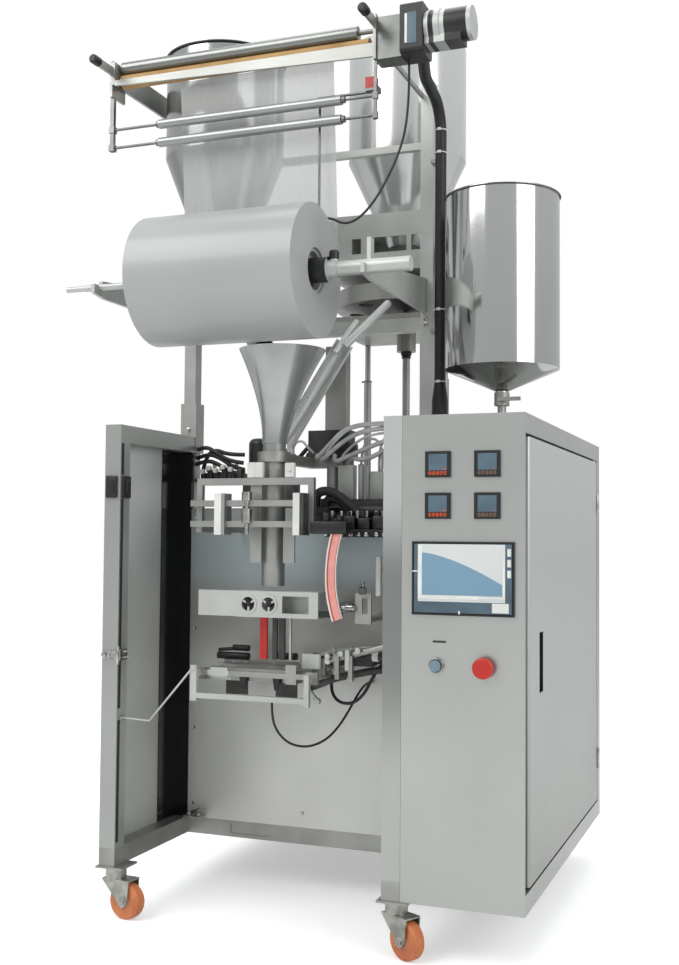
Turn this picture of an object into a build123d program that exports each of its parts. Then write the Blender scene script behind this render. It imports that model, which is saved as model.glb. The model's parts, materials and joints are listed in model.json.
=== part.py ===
from build123d import *
import math
import os

# Granule packing machine, built in millimetres.
# While it is modelled, x runs right along the front from the outer face of the left
# front post, y runs back from the front faces, and z runs up from the floor.
# The last section moves everything so that the origin is at the middle of the base.

# Casters
wheel_diameter = 75.0
wheel_width = 26.0
caster_height = 110.0
caster_plate = 64.0
caster_plate_thickness = 4.0
caster_inset = 27.0
caster_trail = 30.0
caster_turns = {"front_left": -6.0, "front_right": -29.0, "rear_left": -14.0, "rear_right": -35.0}
fork_plate = 3.0
fork_gap = 33.0
swivel_diameter = 44.0
swivel_gap = 0.3
axle_diameter = 10.0

# Main frame
tube = 38.0
chamber_width = 591.5
frame_depth = 900.0
frame_height = 933.0
sheet = 2.0
seam = 0.3
chamber_depth = 324.0
deck_height = 870.0
window_start = 240.0
window_thickness = 4.0
window_return = 4.0
beam_slot_length = 97.0
beam_slot_height = 22.0

# Electrical cabinet on the right
cabinet_width = 241.5
cabinet_rail = 38.0
groove_width = 35.0
groove_depth = 14.0
door_gap = 5.0
door_edge_radius = 5.0
door_pin_diameter = 8.0
door_pin_inset = 7.0
door_pin_length = 10.0
door_thickness = 18.0
handle_height = 118.0
handle_width = 36.0
handle_depth = 14.0
handle_from_edge = 110.0
handle_centre = 563.0

# Things on the control panel, placed from its left edge and the floor
screen_left = 23.0
screen_above_buttons = 96.0
screen_width = 199.0
screen_height = 140.0
screen_proud = 6.0
controller = 50.0
controller_left = 48.0
controller_above_screen = 43.4
controller_pitch_x = 96.8
controller_pitch_z = 79.6
controller_proud = 5.0
start_left = 71.0
stop_left = 165.0
button_height = 563.0
start_diameter = 22.0
stop_diameter = 40.0
button_stem = 16.0
button_travel = 4.0
button_rest_gap = 6.0
bezel_diameter = 29.0
bezel_proud = 4.0

# Upper frame
column = 30.0
column_y = 355.0
left_column_x = 19.0
right_column_x = 612.5
column_top = 1835.0
sleeve = 41.0
sleeve_top = 1124.0
beam_height = 1270.0

# Film roll and its shaft
roll_y = -50.0
roll_z = 1329.0
roll_diameter = 265.0
roll_left = 146.0
roll_width = 359.0
core_bore = 76.0
core_wall = 7.0
core_recess = 5.0
chuck_diameter = 50.0
chuck_reach = 27.0
chuck_seat = 30.0
shaft_diameter = 14.0
shaft_end_diameter = 12.0
shaft_end_length = 46.0
sleeve_diameter = 29.0
hub_collar_diameter = 35.0
shaft_left = -69.0
shaft_right = 700.0
roll_arm_thickness = 8.0
roll_arm_tip = -72.0
roll_arm_below_shaft = 21.0
roll_arm_root_height = 79.0
keeper_height = 62.0
keeper_depth = 20.0

# Film feed rollers on the top arms
feed_y = 42.0
pinch_roller_right_gap = 41.5
drive_roller_right_gap = 15.5
feed_end_gap = 4.0
nip_roller_z = 1834.0
nip_roller_diameter = 28.0
drive_roller_diameter = 30.0
nip_gap = 1.0
journal_diameter = 10.0
top_arm_thickness = 6.0
top_arm_low = 1790.0
top_arm_height = 50.0
top_bar_left_height = 12.0
top_bar_right_height = 28.0
top_bar_thickness = 6.0
lever_reach = 52.0
lever_height = 18.0
knob_length = 24.0
knob_diameter = 20.0
stay_height = 10.0
stay_low = 1800.0

# Feed motor
gearbox_width = 46.0
gearbox_depth = 72.0
gearbox_height = 100.0
motor_diameter = 66.0
motor_length = 96.0
motor_gap = 6.0

# Hanging guide rods
hanger_y = 22.0
hanger_size = 9.0
right_hanger_size = 6.0
hanger_low = 1644.0
upper_guide_z = 1692.0
lower_guide_z = 1652.0
guide_diameter = 20.0
guide_axle = 6.0
guide_left = 108.0
guide_length = 420.0

# Film sensor on its rod behind the guide rollers
sensor_rod_y = 40.0
sensor_rod_z = 1708.0
sensor_rod_left = 470.0
sensor_rod_diameter = 6.0
sensor_head_low = 1446.0
sensor_head_height = 24.0
switch_width = 22.0
switch_height = 28.0
switch_right = 597.0

# Hoppers
hopper_diameter = 271.0
hopper_wall = 2.0
hopper_cylinder = 235.0
hopper_cone_angle = 21.0
right_hopper_diameter = 284.0
right_hopper_cylinder = 273.0
right_hopper_cone_angle = 25.0
hopper_neck_diameter = 90.0
hopper_neck = 22.0
left_hopper_x = 151.0
left_hopper_y = 250.0
left_hopper_top = 1907.0
right_hopper_x = 505.0
right_hopper_y = 530.0
right_hopper_top = 1987.0

# Cup filler under the right hopper
disc_diameter = 337.0
disc_thickness = 40.0
disc_low = 1352.0
cup_diameter = 36.0
cup_count = 6
cup_circle = 256.0
base_plate_low = 1300.0
base_plate_thickness = 12.0
top_plate_thickness = 12.0
filler_post = 16.0
filler_left = 345.0
filler_gap = 2.0
hood_height = 43.0
hood_wall = 3.0
top_box_width = 300.0
top_box_depth = 256.0
top_box_wall = 3.0
window_height = 44.0
band_height = 56.0
mullions = ((12.0, 43.0), (78.0, 19.0), (190.0, 11.0), (246.0, 42.0))
mullion_depth = 8.0
hub_diameter = 60.0
drive_rod_diameter = 18.0
drive_housing_diameter = 46.0
drive_housing_height = 46.0
leg_rod = 14.0
leg_sleeve = 19.0
leg_left_x = 353.0
leg_right_x = 560.0
leg_y = 680.0
leg_sleeve_top = 1206.0

# Liquid hopper on the cabinet
liquid_x = 806.0
liquid_y = 250.0
liquid_diameter = 240.0
liquid_wall = 1.5
liquid_low = 1160.0
liquid_high = 1524.0
liquid_cone = 46.0
liquid_neck = 26.0
rim_radius = 3.0

# Forming tube and the collar over it
former_x = 329.0
former_y = 150.0
former_diameter = 50.0
former_wall = 1.5
former_low = 700.0
former_above_mount = 18.0
funnel_above_roll_base = 13.0
funnel_diameter = 188.0
funnel_shift = 17.0
funnel_flare = 1.6
funnel_levels = 5
funnel_wall = 1.6

# Stand on the deck that holds the forming tube
pillar_diameter = 29.0
pillar_spacing = 36.0
pillar_x = 401.0
pillar_y = 362.0
ring_height = 22.0
mount_rise = 118.0
stand_block_left = 326.0
stand_block_right = 426.0
stand_block_depth = 58.0
stand_block_height = 64.0
stand_post_width = 50.0
stand_post_depth = 30.0
stand_post_top = 1246.0

# Film guide frame in front of the forming tube
guide_frame_left = 166.0
guide_frame_right = 440.0
guide_post_width = 13.0
guide_rail_y = 84.0
guide_rail_depth = 10.0
upper_rail_above_deck = 6.0
lower_rail_above_deck = -38.0
guide_rail_height = 13.0
guide_rail_start = 162.0
guide_rail_end = 404.0
guide_bar_above_deck = 53.0
guide_bar_height = 15.0
guide_bar_depth = 12.0
block_width = 24.0
block_places = (235.0, 417.0)
block_above_deck = 27.0
block_height = 88.0
screw_x = 297.0
screw_diameter = 10.0
screw_knob_diameter = 22.0
screw_top_above_deck = 30.0
screw_length = 90.0
blade_places = (303.0, 380.0)
blade_width = 26.0
blade_thickness = 5.0
blade_low = 750.0

# Pulling unit
pull_left = 180.0
pull_right = 457.0
pull_low = 636.0
pull_height = 55.0
pull_y = 92.0
pull_depth = 44.0
pull_front_left = 271.0
pull_wall = 3.0
pull_wheel_diameter = 40.0
pull_wheel_places = (298.0, 345.0)
pull_window_left = 376.0
pull_window_right = 436.0
pull_window_height = 36.0
strip_low = 545.0
strip_places = ((309.0, 16.0), (338.0, 10.0), (352.0, 14.0), (377.0, 4.0))

# Bracket and motor of the pulling unit on the chamber's back
bracket_left = 499.0
bracket_right = 535.0
bracket_y = 200.0
bracket_low = 621.0
bracket_high = 686.0
bracket_slot_width = 13.0
bracket_slot_height = 34.0
pull_motor_left = 372.0
pull_motor_right = 540.0
pull_motor_diameter = 58.0
pull_motor_y = 286.0
pull_motor_z = 862.0

# Sealing jaws
jaw_low = 500.0
jaw_height = 26.0
jaw_left = 200.0
jaw_right = 410.0
jaw_depth = 22.0
jaw_open = 26.0
jaw_meet = 6.0
jaw_carrier_depth = 12.0
jaw_frame_low = 464.0
jaw_frame_high = 533.0
jaw_frame_left = 178.0
jaw_frame_right = 450.0
jaw_frame_y = 62.0
jaw_post_width = 15.0
jaw_bar = 11.0
slide_rod = 14.0
leg_places = (287.0, 364.0)
leg_top_width = 16.0
leg_height = 28.0
lever_start_x = 446.0
lever_start_z = 543.0
lever_end_z = 588.0
lever_y = 150.0
lever_bar = 14.0

# Motor and gearbox on the deck
deck_motor_x = 196.0
deck_motor_y = 372.0
deck_motor_diameter = 60.0
deck_gearbox_width = 76.0
deck_gearbox_height = 84.0
deck_motor_height = 84.0

# Cables, each as the points that it runs round
sensor_cable_diameter = 5.0
jaw_cable_diameter = 5.0
back_cable_diameter = 7.0
gland_diameter = 14.0
gland_length = 10.0
jaw_cable_x = 366.0
jaw_gland = (494.0, 484.0)
back_gland = (418.0, 500.0)
wall_gland_y = 214.0
wall_gland_z = 560.0

# Film
film_thickness = 0.6
web_left = 146.0
web_width = 355.0

# Conduit up the right column
conduit_diameter = 25.0
conduit_gap = 10.0
conduit_back = 30.0
conduit_end_rise = 2.0


def block(x0, x1, y0, y1, z0, z1):
    """A box between two corners."""
    size = Box(x1 - x0, y1 - y0, z1 - z0)
    return Pos((x0 + x1) / 2, (y0 + y1) / 2, (z0 + z1) / 2) * size


def rod_x(radius, x0, x1, y, z):
    """A cylinder along x."""
    return Pos((x0 + x1) / 2, y, z) * Rot(0, 90, 0) * Cylinder(radius, x1 - x0)


def rod_y(radius, x, y0, y1, z):
    """A cylinder along y."""
    return Pos(x, (y0 + y1) / 2, z) * Rot(90, 0, 0) * Cylinder(radius, y1 - y0)


def rod_z(radius, x, y, z0, z1):
    """A cylinder along z."""
    return Pos(x, y, (z0 + z1) / 2) * Cylinder(radius, z1 - z0)


def together(*solids):
    """Several solids that share one node."""
    return Compound(children=[solid for group in solids for solid in group.solids()])


# Sizes that follow from the ones above
jaw_middle = jaw_low + jaw_height / 2
rod_places = (jaw_frame_left + jaw_post_width / 2, jaw_frame_right - jaw_bar / 2)
frame_low = caster_height
frame_top = frame_low + frame_height
frame_width = tube + chamber_width + tube
cabinet_left = frame_width
cabinet_right = cabinet_left + cabinet_width
chamber_left = tube
chamber_right = tube + chamber_width
caster_places = {
    "front_left": (caster_inset, caster_inset),
    "front_right": (frame_width - caster_inset + 12, caster_inset),
    "rear_left": (caster_inset, frame_depth - caster_inset),
    "rear_right": (frame_width - caster_inset + 12, frame_depth - caster_inset),
}
wheel_z = wheel_diameter / 2
screen_bottom = button_height + screen_above_buttons
controller_top = (screen_bottom + screen_height + controller_above_screen + controller
                  + controller_pitch_z)
journal_clearance = 0.3
mount_top = deck_height + mount_rise
former_top = mount_top + former_above_mount
funnel_top = roll_z - roll_diameter / 2 + funnel_above_roll_base
roll_right = roll_left + roll_width
roll_arm_low = roll_z - roll_arm_below_shaft


def caster_fork(x, y, turn):
    """Swivel head, two side plates and the axle of one caster."""
    plate_low = caster_height - caster_plate_thickness
    head_top = plate_low - swivel_gap
    head_low = head_top - 10
    crown_low = wheel_diameter + 5
    head = rod_z(swivel_diameter / 2, 0, 0, crown_low + fork_plate, head_top)
    crown_back = -swivel_diameter / 2
    crown_front = caster_trail + 16
    half = fork_gap / 2
    crown = block(crown_back, crown_front, -half - fork_plate, half + fork_plate,
                  crown_low, crown_low + fork_plate)
    solids = [head, crown]
    outline = Polyline(
        (crown_back, crown_low), (crown_front, crown_low), (caster_trail + 13, wheel_z),
        (caster_trail, wheel_z - 13), (caster_trail - 13, wheel_z), close=True)
    profile = make_face(Plane.XZ * outline)
    for side in (-1, 1):
        inner = side * half
        plate = extrude(profile, amount=fork_plate / 2, both=True)
        plate = Pos(0, inner + side * fork_plate / 2, 0) * plate
        solids.append(plate)
    reach = half + fork_plate + 6
    solids.append(rod_y(axle_diameter / 2 - 0.2, caster_trail, -reach, reach, wheel_z))
    fork = solids[0]
    for solid in solids[1:]:
        fork = fork + solid
    return Pos(x, y, 0) * Rot(0, 0, turn) * fork


def caster_wheel(x, y, turn):
    """Polyurethane wheel with a hub and a rounded tread."""
    half = wheel_width / 2
    tyre = rod_y(wheel_diameter / 2, caster_trail, -half, half, wheel_z)
    tyre = fillet(tyre.edges().filter_by(GeomType.CIRCLE), 5)
    hub_half = fork_gap / 2 - 0.5
    hub = rod_y(12, caster_trail, -hub_half, hub_half, wheel_z)
    wheel = tyre + hub
    wheel = wheel - rod_y(axle_diameter / 2, caster_trail, -hub_half - 1, hub_half + 1, wheel_z)
    return Pos(x, y, 0) * Rot(0, 0, turn) * wheel


def base_frame():
    """Bottom rails, the cross beam under the chamber's back and the caster plates."""
    top = frame_low + tube
    left = block(0, tube, tube, frame_depth - tube, frame_low, top)
    right = block(chamber_right, frame_width, tube, frame_depth - tube, frame_low, top)
    back = block(0, frame_width, frame_depth - tube, frame_depth, frame_low, top)
    cross = block(tube, chamber_right, chamber_depth, chamber_depth + tube, frame_low, top)
    slot_x = tube + 160
    slot_z = frame_low + tube / 2
    slot = block(slot_x - beam_slot_length / 2, slot_x + beam_slot_length / 2,
                 chamber_depth - 1, chamber_depth + sheet,
                 slot_z - beam_slot_height / 2, slot_z + beam_slot_height / 2)
    cross = cross - slot
    rails = left + right + back + cross
    front_feet = block(0, tube, 0, tube, frame_low, top)
    rails = rails + front_feet + block(chamber_right, frame_width, 0, tube, frame_low, top)
    half = caster_plate / 2
    for x, y in caster_places.values():
        rails = rails + block(x - half, x + half, y - half, y + half,
                              caster_height - caster_plate_thickness, caster_height)
    return rails


def posts():
    """Front posts, one either side of the chamber."""
    low = frame_low + tube
    left = block(0, tube, 0, tube, low, frame_top)
    right = block(chamber_right, frame_width, 0, tube, low, frame_top)
    return left, right


def left_side():
    """Top rail, sheet and dark window of the chamber's left side."""
    rail = block(0, tube, tube, column_y - sleeve / 2, frame_top - tube, frame_top)
    low = frame_low + tube
    high = frame_top - tube
    panel = block(0, sheet, tube, window_start, low, high)
    window = block(0, window_thickness, window_start, chamber_depth - window_return, low, high)
    back = block(0, tube, chamber_depth - window_return, chamber_depth, low, high)
    return rail, panel, window + back


def back_panel():
    """Sheet at the back of the chamber, with a folded top edge."""
    low = frame_low + tube
    panel = block(chamber_left, chamber_right, chamber_depth - sheet, chamber_depth,
                  low, deck_height + sheet)
    lip = block(chamber_left, chamber_right, chamber_depth, chamber_depth + 14,
                deck_height, deck_height + sheet)
    panel = panel + lip
    for x, z in (jaw_gland, back_gland):
        panel = panel + rod_y(gland_diameter / 2, x, chamber_depth - sheet - gland_length,
                              chamber_depth - sheet, z)
    return panel


def rear_housing():
    """Closed drive housing behind the chamber, with a geared motor on its deck."""
    low = frame_low + tube
    housing = block(0, chamber_right, chamber_depth, frame_depth, low, deck_height)
    half = deck_gearbox_width / 2
    gearbox_top = deck_height + deck_gearbox_height
    gearbox = block(deck_motor_x - half, deck_motor_x + half, deck_motor_y - half + 10,
                    deck_motor_y + half, deck_height, gearbox_top)
    gearbox = fillet(gearbox.edges().filter_by(Axis.Z), 8)
    motor = rod_z(deck_motor_diameter / 2, deck_motor_x, deck_motor_y, gearbox_top,
                  gearbox_top + deck_motor_height)
    motor = fillet(motor.edges().filter_by(GeomType.CIRCLE).sort_by(Axis.Z)[-1], 14)
    return housing + gearbox + motor


def right_wall():
    """Wall between the chamber and the cabinet."""
    low = frame_low + tube
    wall = block(chamber_right, chamber_right + sheet, tube, frame_depth, low, frame_top)
    wall = wall + rod_x(gland_diameter / 2, chamber_right - gland_length, chamber_right,
                        wall_gland_y, wall_gland_z)
    top = block(chamber_right + sheet, frame_width, tube, frame_depth,
                frame_top - sheet, frame_top)
    return wall + top


def cabinet_shell():
    """Folded sheet cabinet, open on its right side, with a frame round the door."""
    x0 = cabinet_left
    x1 = cabinet_right
    outer = block(x0, x1, sheet, frame_depth, frame_low, frame_top)
    inner = block(x0 + sheet, x1 - door_thickness - sheet - 8, 2 * sheet,
                  frame_depth - sheet, frame_low + sheet, frame_top - sheet)
    shell = outer - inner
    door_low = frame_low + cabinet_rail
    door_high = frame_top - cabinet_rail
    door_front = sheet + groove_width
    door_back = frame_depth - cabinet_rail
    pocket = block(x1 - door_thickness - 8, x1 + 1, door_front, door_back, door_low, door_high)
    lip = 14.0
    opening = block(x0 + sheet, x1 + 1, door_front + lip, door_back - lip,
                    door_low + lip, door_high - lip)
    groove = block(x1 - groove_depth, x1 + 1, 2 * sheet, door_front, door_low, door_high)
    front = block(x0 + lip, x1 - groove_depth - 24, 0, 2 * sheet + 1,
                  frame_low + lip, frame_top - lip)
    pin_x = x1 - door_pin_inset
    pin_y = door_back - door_gap - door_pin_inset
    pins = rod_z(door_pin_diameter / 2 + journal_clearance, pin_x, pin_y,
                 door_low - door_pin_length, door_high + door_pin_length)
    return shell - pocket - opening - groove - front - pins


def control_panel():
    """Front panel, cut for the screen, the controllers and the buttons."""
    panel = block(cabinet_left + 0.5, cabinet_right, 0, sheet, frame_low, frame_top)
    for x in (start_left, stop_left):
        hole = rod_y(button_stem / 2 + 0.3, cabinet_left + x, -1, sheet + 1, button_height)
        panel = panel - hole
    return panel


def touch_screen():
    """Bezel with a sunk display."""
    x0 = cabinet_left + screen_left
    bezel = block(x0, x0 + screen_width, -screen_proud, 0,
                  screen_bottom, screen_bottom + screen_height)
    border = 11.0
    window = block(x0 + border, x0 + screen_width - border, -screen_proud - 1,
                   -screen_proud + 1.5, screen_bottom + border + 6,
                   screen_bottom + screen_height - border)
    return bezel - window


def temperature_controllers():
    """Four square controllers in two rows, each with a sunk face."""
    solids = []
    for row in range(2):
        for place in range(2):
            x0 = cabinet_left + controller_left + place * controller_pitch_x
            z1 = controller_top - row * controller_pitch_z
            case = block(x0, x0 + controller, -controller_proud, 0, z1 - controller, z1)
            face = block(x0 + 4, x0 + controller - 4, -controller_proud - 1,
                         -controller_proud + 1.2, z1 - controller + 4, z1 - 4)
            solids.append(case - face)
    return together(*solids)


def start_button():
    """Flat push button on its stem."""
    centre = cabinet_left + start_left
    face = -bezel_proud - button_rest_gap
    cap = rod_y(start_diameter / 2, centre, face - 2, face, button_height)
    return cap + rod_y(button_stem / 2, centre, face, sheet + 10, button_height)


def stop_button():
    """Red mushroom button on its stem."""
    centre = cabinet_left + stop_left
    face = -bezel_proud - button_rest_gap
    cap = rod_y(stop_diameter / 2, centre, face - 12, face, button_height)
    front = cap.edges().filter_by(GeomType.CIRCLE).sort_by(Axis.Y)[0]
    cap = fillet(front, 5)
    return cap + rod_y(button_stem / 2, centre, face, sheet + 10, button_height)


def side_door():
    """Folded sheet door with a recessed pull, hinged at its rear edge."""
    x1 = cabinet_right
    x0 = x1 - door_thickness
    y0 = sheet + groove_width + door_gap
    y1 = frame_depth - cabinet_rail - door_gap
    z0 = frame_low + cabinet_rail + door_gap
    z1 = frame_top - cabinet_rail - door_gap
    tray = block(x0, x1, y0, y1, z0, z1)
    outer_edges = tray.edges().filter_by(Axis.Z).group_by(Axis.X)[-1]
    tray = fillet(outer_edges, door_edge_radius)
    tray = tray - block(x0 - 1, x1 - sheet, y0 + sheet, y1 - sheet, z0 + sheet, z1 - sheet)
    hy = y0 + handle_from_edge
    half_w = handle_width / 2
    half_h = handle_height / 2
    cup = block(x1 - handle_depth, x1 - sheet, hy - half_w - sheet, hy + half_w + sheet,
                handle_centre - half_h - sheet, handle_centre + half_h + sheet)
    pocket = block(x1 - handle_depth + sheet, x1 + 1, hy - half_w, hy + half_w,
                   handle_centre - half_h, handle_centre + half_h)
    door = tray + cup - pocket
    pin_x = x1 - door_pin_inset
    pin_y = y1 - door_pin_inset
    reach = door_gap + door_pin_length - 1
    pad = 2 * door_pin_inset
    for low, high, seat in ((z0 - reach, z0 + 6, z0), (z1 - 6, z1 + reach, z1 - 6)):
        door = door + rod_z(door_pin_diameter / 2, pin_x, pin_y, low, high)
        door = door + block(x1 - pad, x1 - 1, y1 - pad, y1 - 1, seat, seat + 6)
    return door


def upper_columns():
    """Two square columns from the deck to the film feed arms, the left one in a sleeve."""
    half = column / 2
    left = block(left_column_x - half, left_column_x + half, column_y - half, column_y + half,
                 deck_height, beam_height + column)
    cup = sleeve / 2
    low = frame_top - tube
    left = left + block(left_column_x - cup, left_column_x + cup, column_y - cup,
                        column_y + cup, low, sleeve_top)
    right = block(right_column_x - half, right_column_x + half, column_y - half,
                  column_y + half, deck_height, column_top)
    return left, right


def roll_arms():
    """Tapered plates that hold the film shaft in open slots, each with an upright keeper."""
    root = column_y - column / 2
    shaft_low = roll_z - sleeve_diameter / 2
    outline = Polyline(
        (roll_arm_tip, roll_arm_low + 6), (roll_arm_tip, roll_z + 4), (roll_y + 30, roll_z + 16),
        (root, roll_arm_low + roll_arm_root_height), (root, roll_arm_low),
        (roll_y + 20, roll_arm_low), close=True)
    profile = make_face(Plane.YZ * outline)
    arms = []
    for x, radius in ((left_column_x - column / 2, shaft_diameter / 2),
                      (right_column_x - roll_arm_thickness, sleeve_diameter / 2)):
        arm = Pos(x, 0, 0) * extrude(profile, amount=roll_arm_thickness, dir=(1, 0, 0))
        gap = radius + journal_clearance
        arm = arm + block(x, x + roll_arm_thickness, roll_y + gap,
                          roll_y + gap + keeper_depth, roll_arm_low, roll_z + keeper_height)
        slot = rod_x(gap, x - 1, x + roll_arm_thickness + 1, roll_y, roll_z)
        slot = slot + block(x - 1, x + roll_arm_thickness + 1, roll_y - gap, roll_y + gap,
                            roll_z, roll_z + keeper_height + 1)
        arms.append(arm - slot)
    return arms


def film_roll():
    """Wound film with its core set back a little from the faces."""
    roll = rod_x(roll_diameter / 2, roll_left, roll_right, roll_y, roll_z)
    roll = roll - rod_x(core_bore / 2, roll_left - 1, roll_right + 1, roll_y, roll_z)
    face = core_bore / 2 + core_wall
    roll = roll - rod_x(face, roll_left - 1, roll_left + core_recess, roll_y, roll_z)
    return roll - rod_x(face, roll_right - core_recess, roll_right + 1, roll_y, roll_z)


def roll_shaft():
    """Shaft through the roll with its core chucks, clamp collar and thick right end."""
    neck = shaft_left + shaft_end_length
    seat = core_bore / 2 - 0.2
    left_seat = roll_left + core_recess
    right_seat = roll_right - core_recess - 12
    chuck_end = roll_right + chuck_reach
    steps = (
        (shaft_left, neck, shaft_end_diameter / 2),
        (neck, roll_left - 10, shaft_diameter / 2),
        (roll_left - 10, left_seat, chuck_diameter / 2),
        (left_seat, left_seat + chuck_seat, seat),
        (left_seat + chuck_seat, right_seat - chuck_seat, shaft_diameter / 2),
        (right_seat - chuck_seat, right_seat, seat),
        (right_seat, chuck_end, chuck_diameter / 2),
        (chuck_end, chuck_end + 20, hub_collar_diameter / 2),
        (chuck_end + 20, shaft_right, sleeve_diameter / 2))
    outline = [(shaft_left, 0)]
    for start, end, radius in steps:
        outline += [(start, radius), (end, radius)]
    outline.append((shaft_right, 0))
    profile = make_face(Plane.XZ * Polyline(*outline, close=True))
    shaft = Pos(0, roll_y, roll_z) * revolve(profile, Axis.X)
    knob_x = chuck_end + 10
    knob = rod_z(10, knob_x, roll_y, roll_z + 12, roll_z + 38)
    knob = fillet(knob.edges().filter_by(GeomType.CIRCLE).sort_by(Axis.Z)[-1], 6)
    return shaft + knob


drive_roller_z = nip_roller_z - (nip_roller_diameter + drive_roller_diameter) / 2 - nip_gap
left_arm_x = left_column_x - column / 2 - top_arm_thickness - 4
right_arm_x = right_column_x - column / 2
arm_front = feed_y - 30
arm_top = top_arm_low + top_arm_height
end_plate = 6.0
end_plate_depth = 54.0
end_plate_low = 1764.0
left_lever_z = 1821.0
right_lever_z = 1838.0


def journals(x):
    """Clearance holes for both roller journals through a plate near x."""
    radius = journal_diameter / 2 + journal_clearance
    upper = rod_x(radius, x - 20, x + 20, feed_y, nip_roller_z)
    lower = rod_x(radius, x - 20, x + 20, feed_y, drive_roller_z)
    return upper + lower


def feed_arms():
    """Left arm, right stay, end plates and the levers that press the upper roller."""
    solids = []
    column_front = column_y - column / 2
    outline = Polyline(
        (arm_front, top_arm_low), (arm_front, arm_top), (column_y + column / 2, arm_top),
        (column_y + column / 2, top_arm_low), close=True)
    left = extrude(make_face(Plane.YZ * outline), amount=top_arm_thickness, dir=(1, 0, 0))
    left = Pos(left_arm_x, 0, 0) * left
    tie = block(left_arm_x, left_column_x - column / 2, column_front,
                column_y + column / 2, top_arm_low, arm_top)
    plate = block(left_arm_x - end_plate, left_arm_x, arm_front, arm_front + end_plate_depth,
                  end_plate_low, arm_top + 4)
    lever = block(left_arm_x - end_plate, left_arm_x, arm_front - lever_reach, arm_front,
                  left_lever_z - lever_height / 2, left_lever_z + lever_height / 2)
    solids.append(left + tie + plate + lever - journals(left_arm_x))
    right = block(right_arm_x, right_arm_x + end_plate, arm_front,
                  arm_front + end_plate_depth, end_plate_low, arm_top + 16)
    lever = block(right_arm_x, right_arm_x + end_plate, arm_front - lever_reach, arm_front,
                  right_lever_z - lever_height / 2, right_lever_z + lever_height / 2)
    stay = block(right_arm_x, right_arm_x + end_plate, arm_front + end_plate_depth,
                 column_front, stay_low, stay_low + stay_height)
    solids.append(right + lever + stay - journals(right_arm_x))
    return solids


def nip_knobs():
    """Knobs at the front ends of the levers."""
    knobs = []
    for x, z in ((left_arm_x - end_plate / 2, left_lever_z),
                 (right_arm_x + end_plate / 2, right_lever_z)):
        start = arm_front - lever_reach
        knob = rod_y(knob_diameter / 2, x, start - knob_length, start, z)
        front = knob.edges().filter_by(GeomType.CIRCLE).sort_by(Axis.Y)[0]
        knobs.append(fillet(front, knob_diameter / 4))
    return together(*knobs)


def top_bar():
    """Flat bar along the front, deeper at its right end, under the feed rollers."""
    left = left_arm_x + top_arm_thickness
    high = drive_roller_z - drive_roller_diameter / 2 + 10
    outline = Polyline(
        (left, high), (right_arm_x, high - 2), (right_arm_x, high - 2 - top_bar_right_height),
        (left, high - top_bar_left_height), close=True)
    bar = extrude(make_face(Plane.XZ * outline), amount=top_bar_thickness, dir=(0, 1, 0))
    return Pos(0, arm_front, 0) * bar


def pinch_roller():
    """Plain aluminium roller with its journals."""
    start = left_arm_x + top_arm_thickness + feed_end_gap
    roller = rod_x(nip_roller_diameter / 2, start, right_arm_x - pinch_roller_right_gap,
                   feed_y, nip_roller_z)
    return roller + rod_x(journal_diameter / 2, left_arm_x - end_plate, right_arm_x + end_plate,
                          feed_y, nip_roller_z)


def drive_roller():
    """Coated roller with its journals."""
    start = left_arm_x + top_arm_thickness + feed_end_gap
    roller = rod_x(drive_roller_diameter / 2, start, right_arm_x - drive_roller_right_gap,
                   feed_y, drive_roller_z)
    return roller + rod_x(journal_diameter / 2, left_arm_x - end_plate,
                          right_arm_x + end_plate + 20, feed_y, drive_roller_z)


def feed_motor():
    """Feed motor with its gearbox, and the motor of the pulling unit."""
    x0 = right_arm_x + end_plate
    x1 = x0 + 52
    x2 = x1 + gearbox_width
    middle = drive_roller_z + 16
    coupling = block(x0, x1, feed_y - 24, feed_y + 24, end_plate_low, arm_top + 10)
    low = middle - gearbox_height / 2 - 4
    gearbox = block(x1, x2, feed_y - gearbox_depth / 2, feed_y + gearbox_depth / 2,
                    low, low + gearbox_height)
    gearbox = fillet(gearbox.edges().filter_by(Axis.X), 8)
    motor = rod_x(motor_diameter / 2, x2, x2 + motor_length, feed_y, middle)
    for start, width in ((6, 8), (22, 10)):
        motor = motor + rod_x(motor_diameter / 2 + 2, x2 + start, x2 + start + width,
                              feed_y, middle)
    foot = block(x2, x2 + motor_length - 20, feed_y - 24, feed_y + 24,
                 middle - motor_diameter / 2 - 5, middle)
    body = coupling + gearbox + motor + foot
    bore = rod_x(journal_diameter / 2 + journal_clearance, x0 - 1, x0 + 26, feed_y,
                 drive_roller_z)
    radius = pull_motor_diameter / 2
    puller = rod_x(radius, pull_motor_left + 50, pull_motor_right, pull_motor_y, pull_motor_z)
    box = block(pull_motor_left, pull_motor_left + 50, pull_motor_y - radius,
                chamber_depth - sheet, pull_motor_z - radius - 2, pull_motor_z + radius)
    box = fillet(box.edges().filter_by(Axis.Y), 8)
    foot = block(pull_motor_left + 40, pull_motor_right - 30, pull_motor_y,
                 chamber_depth - sheet, pull_motor_z - radius, pull_motor_z - radius + 14)
    return together(body - bore, puller + box + foot)


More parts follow.
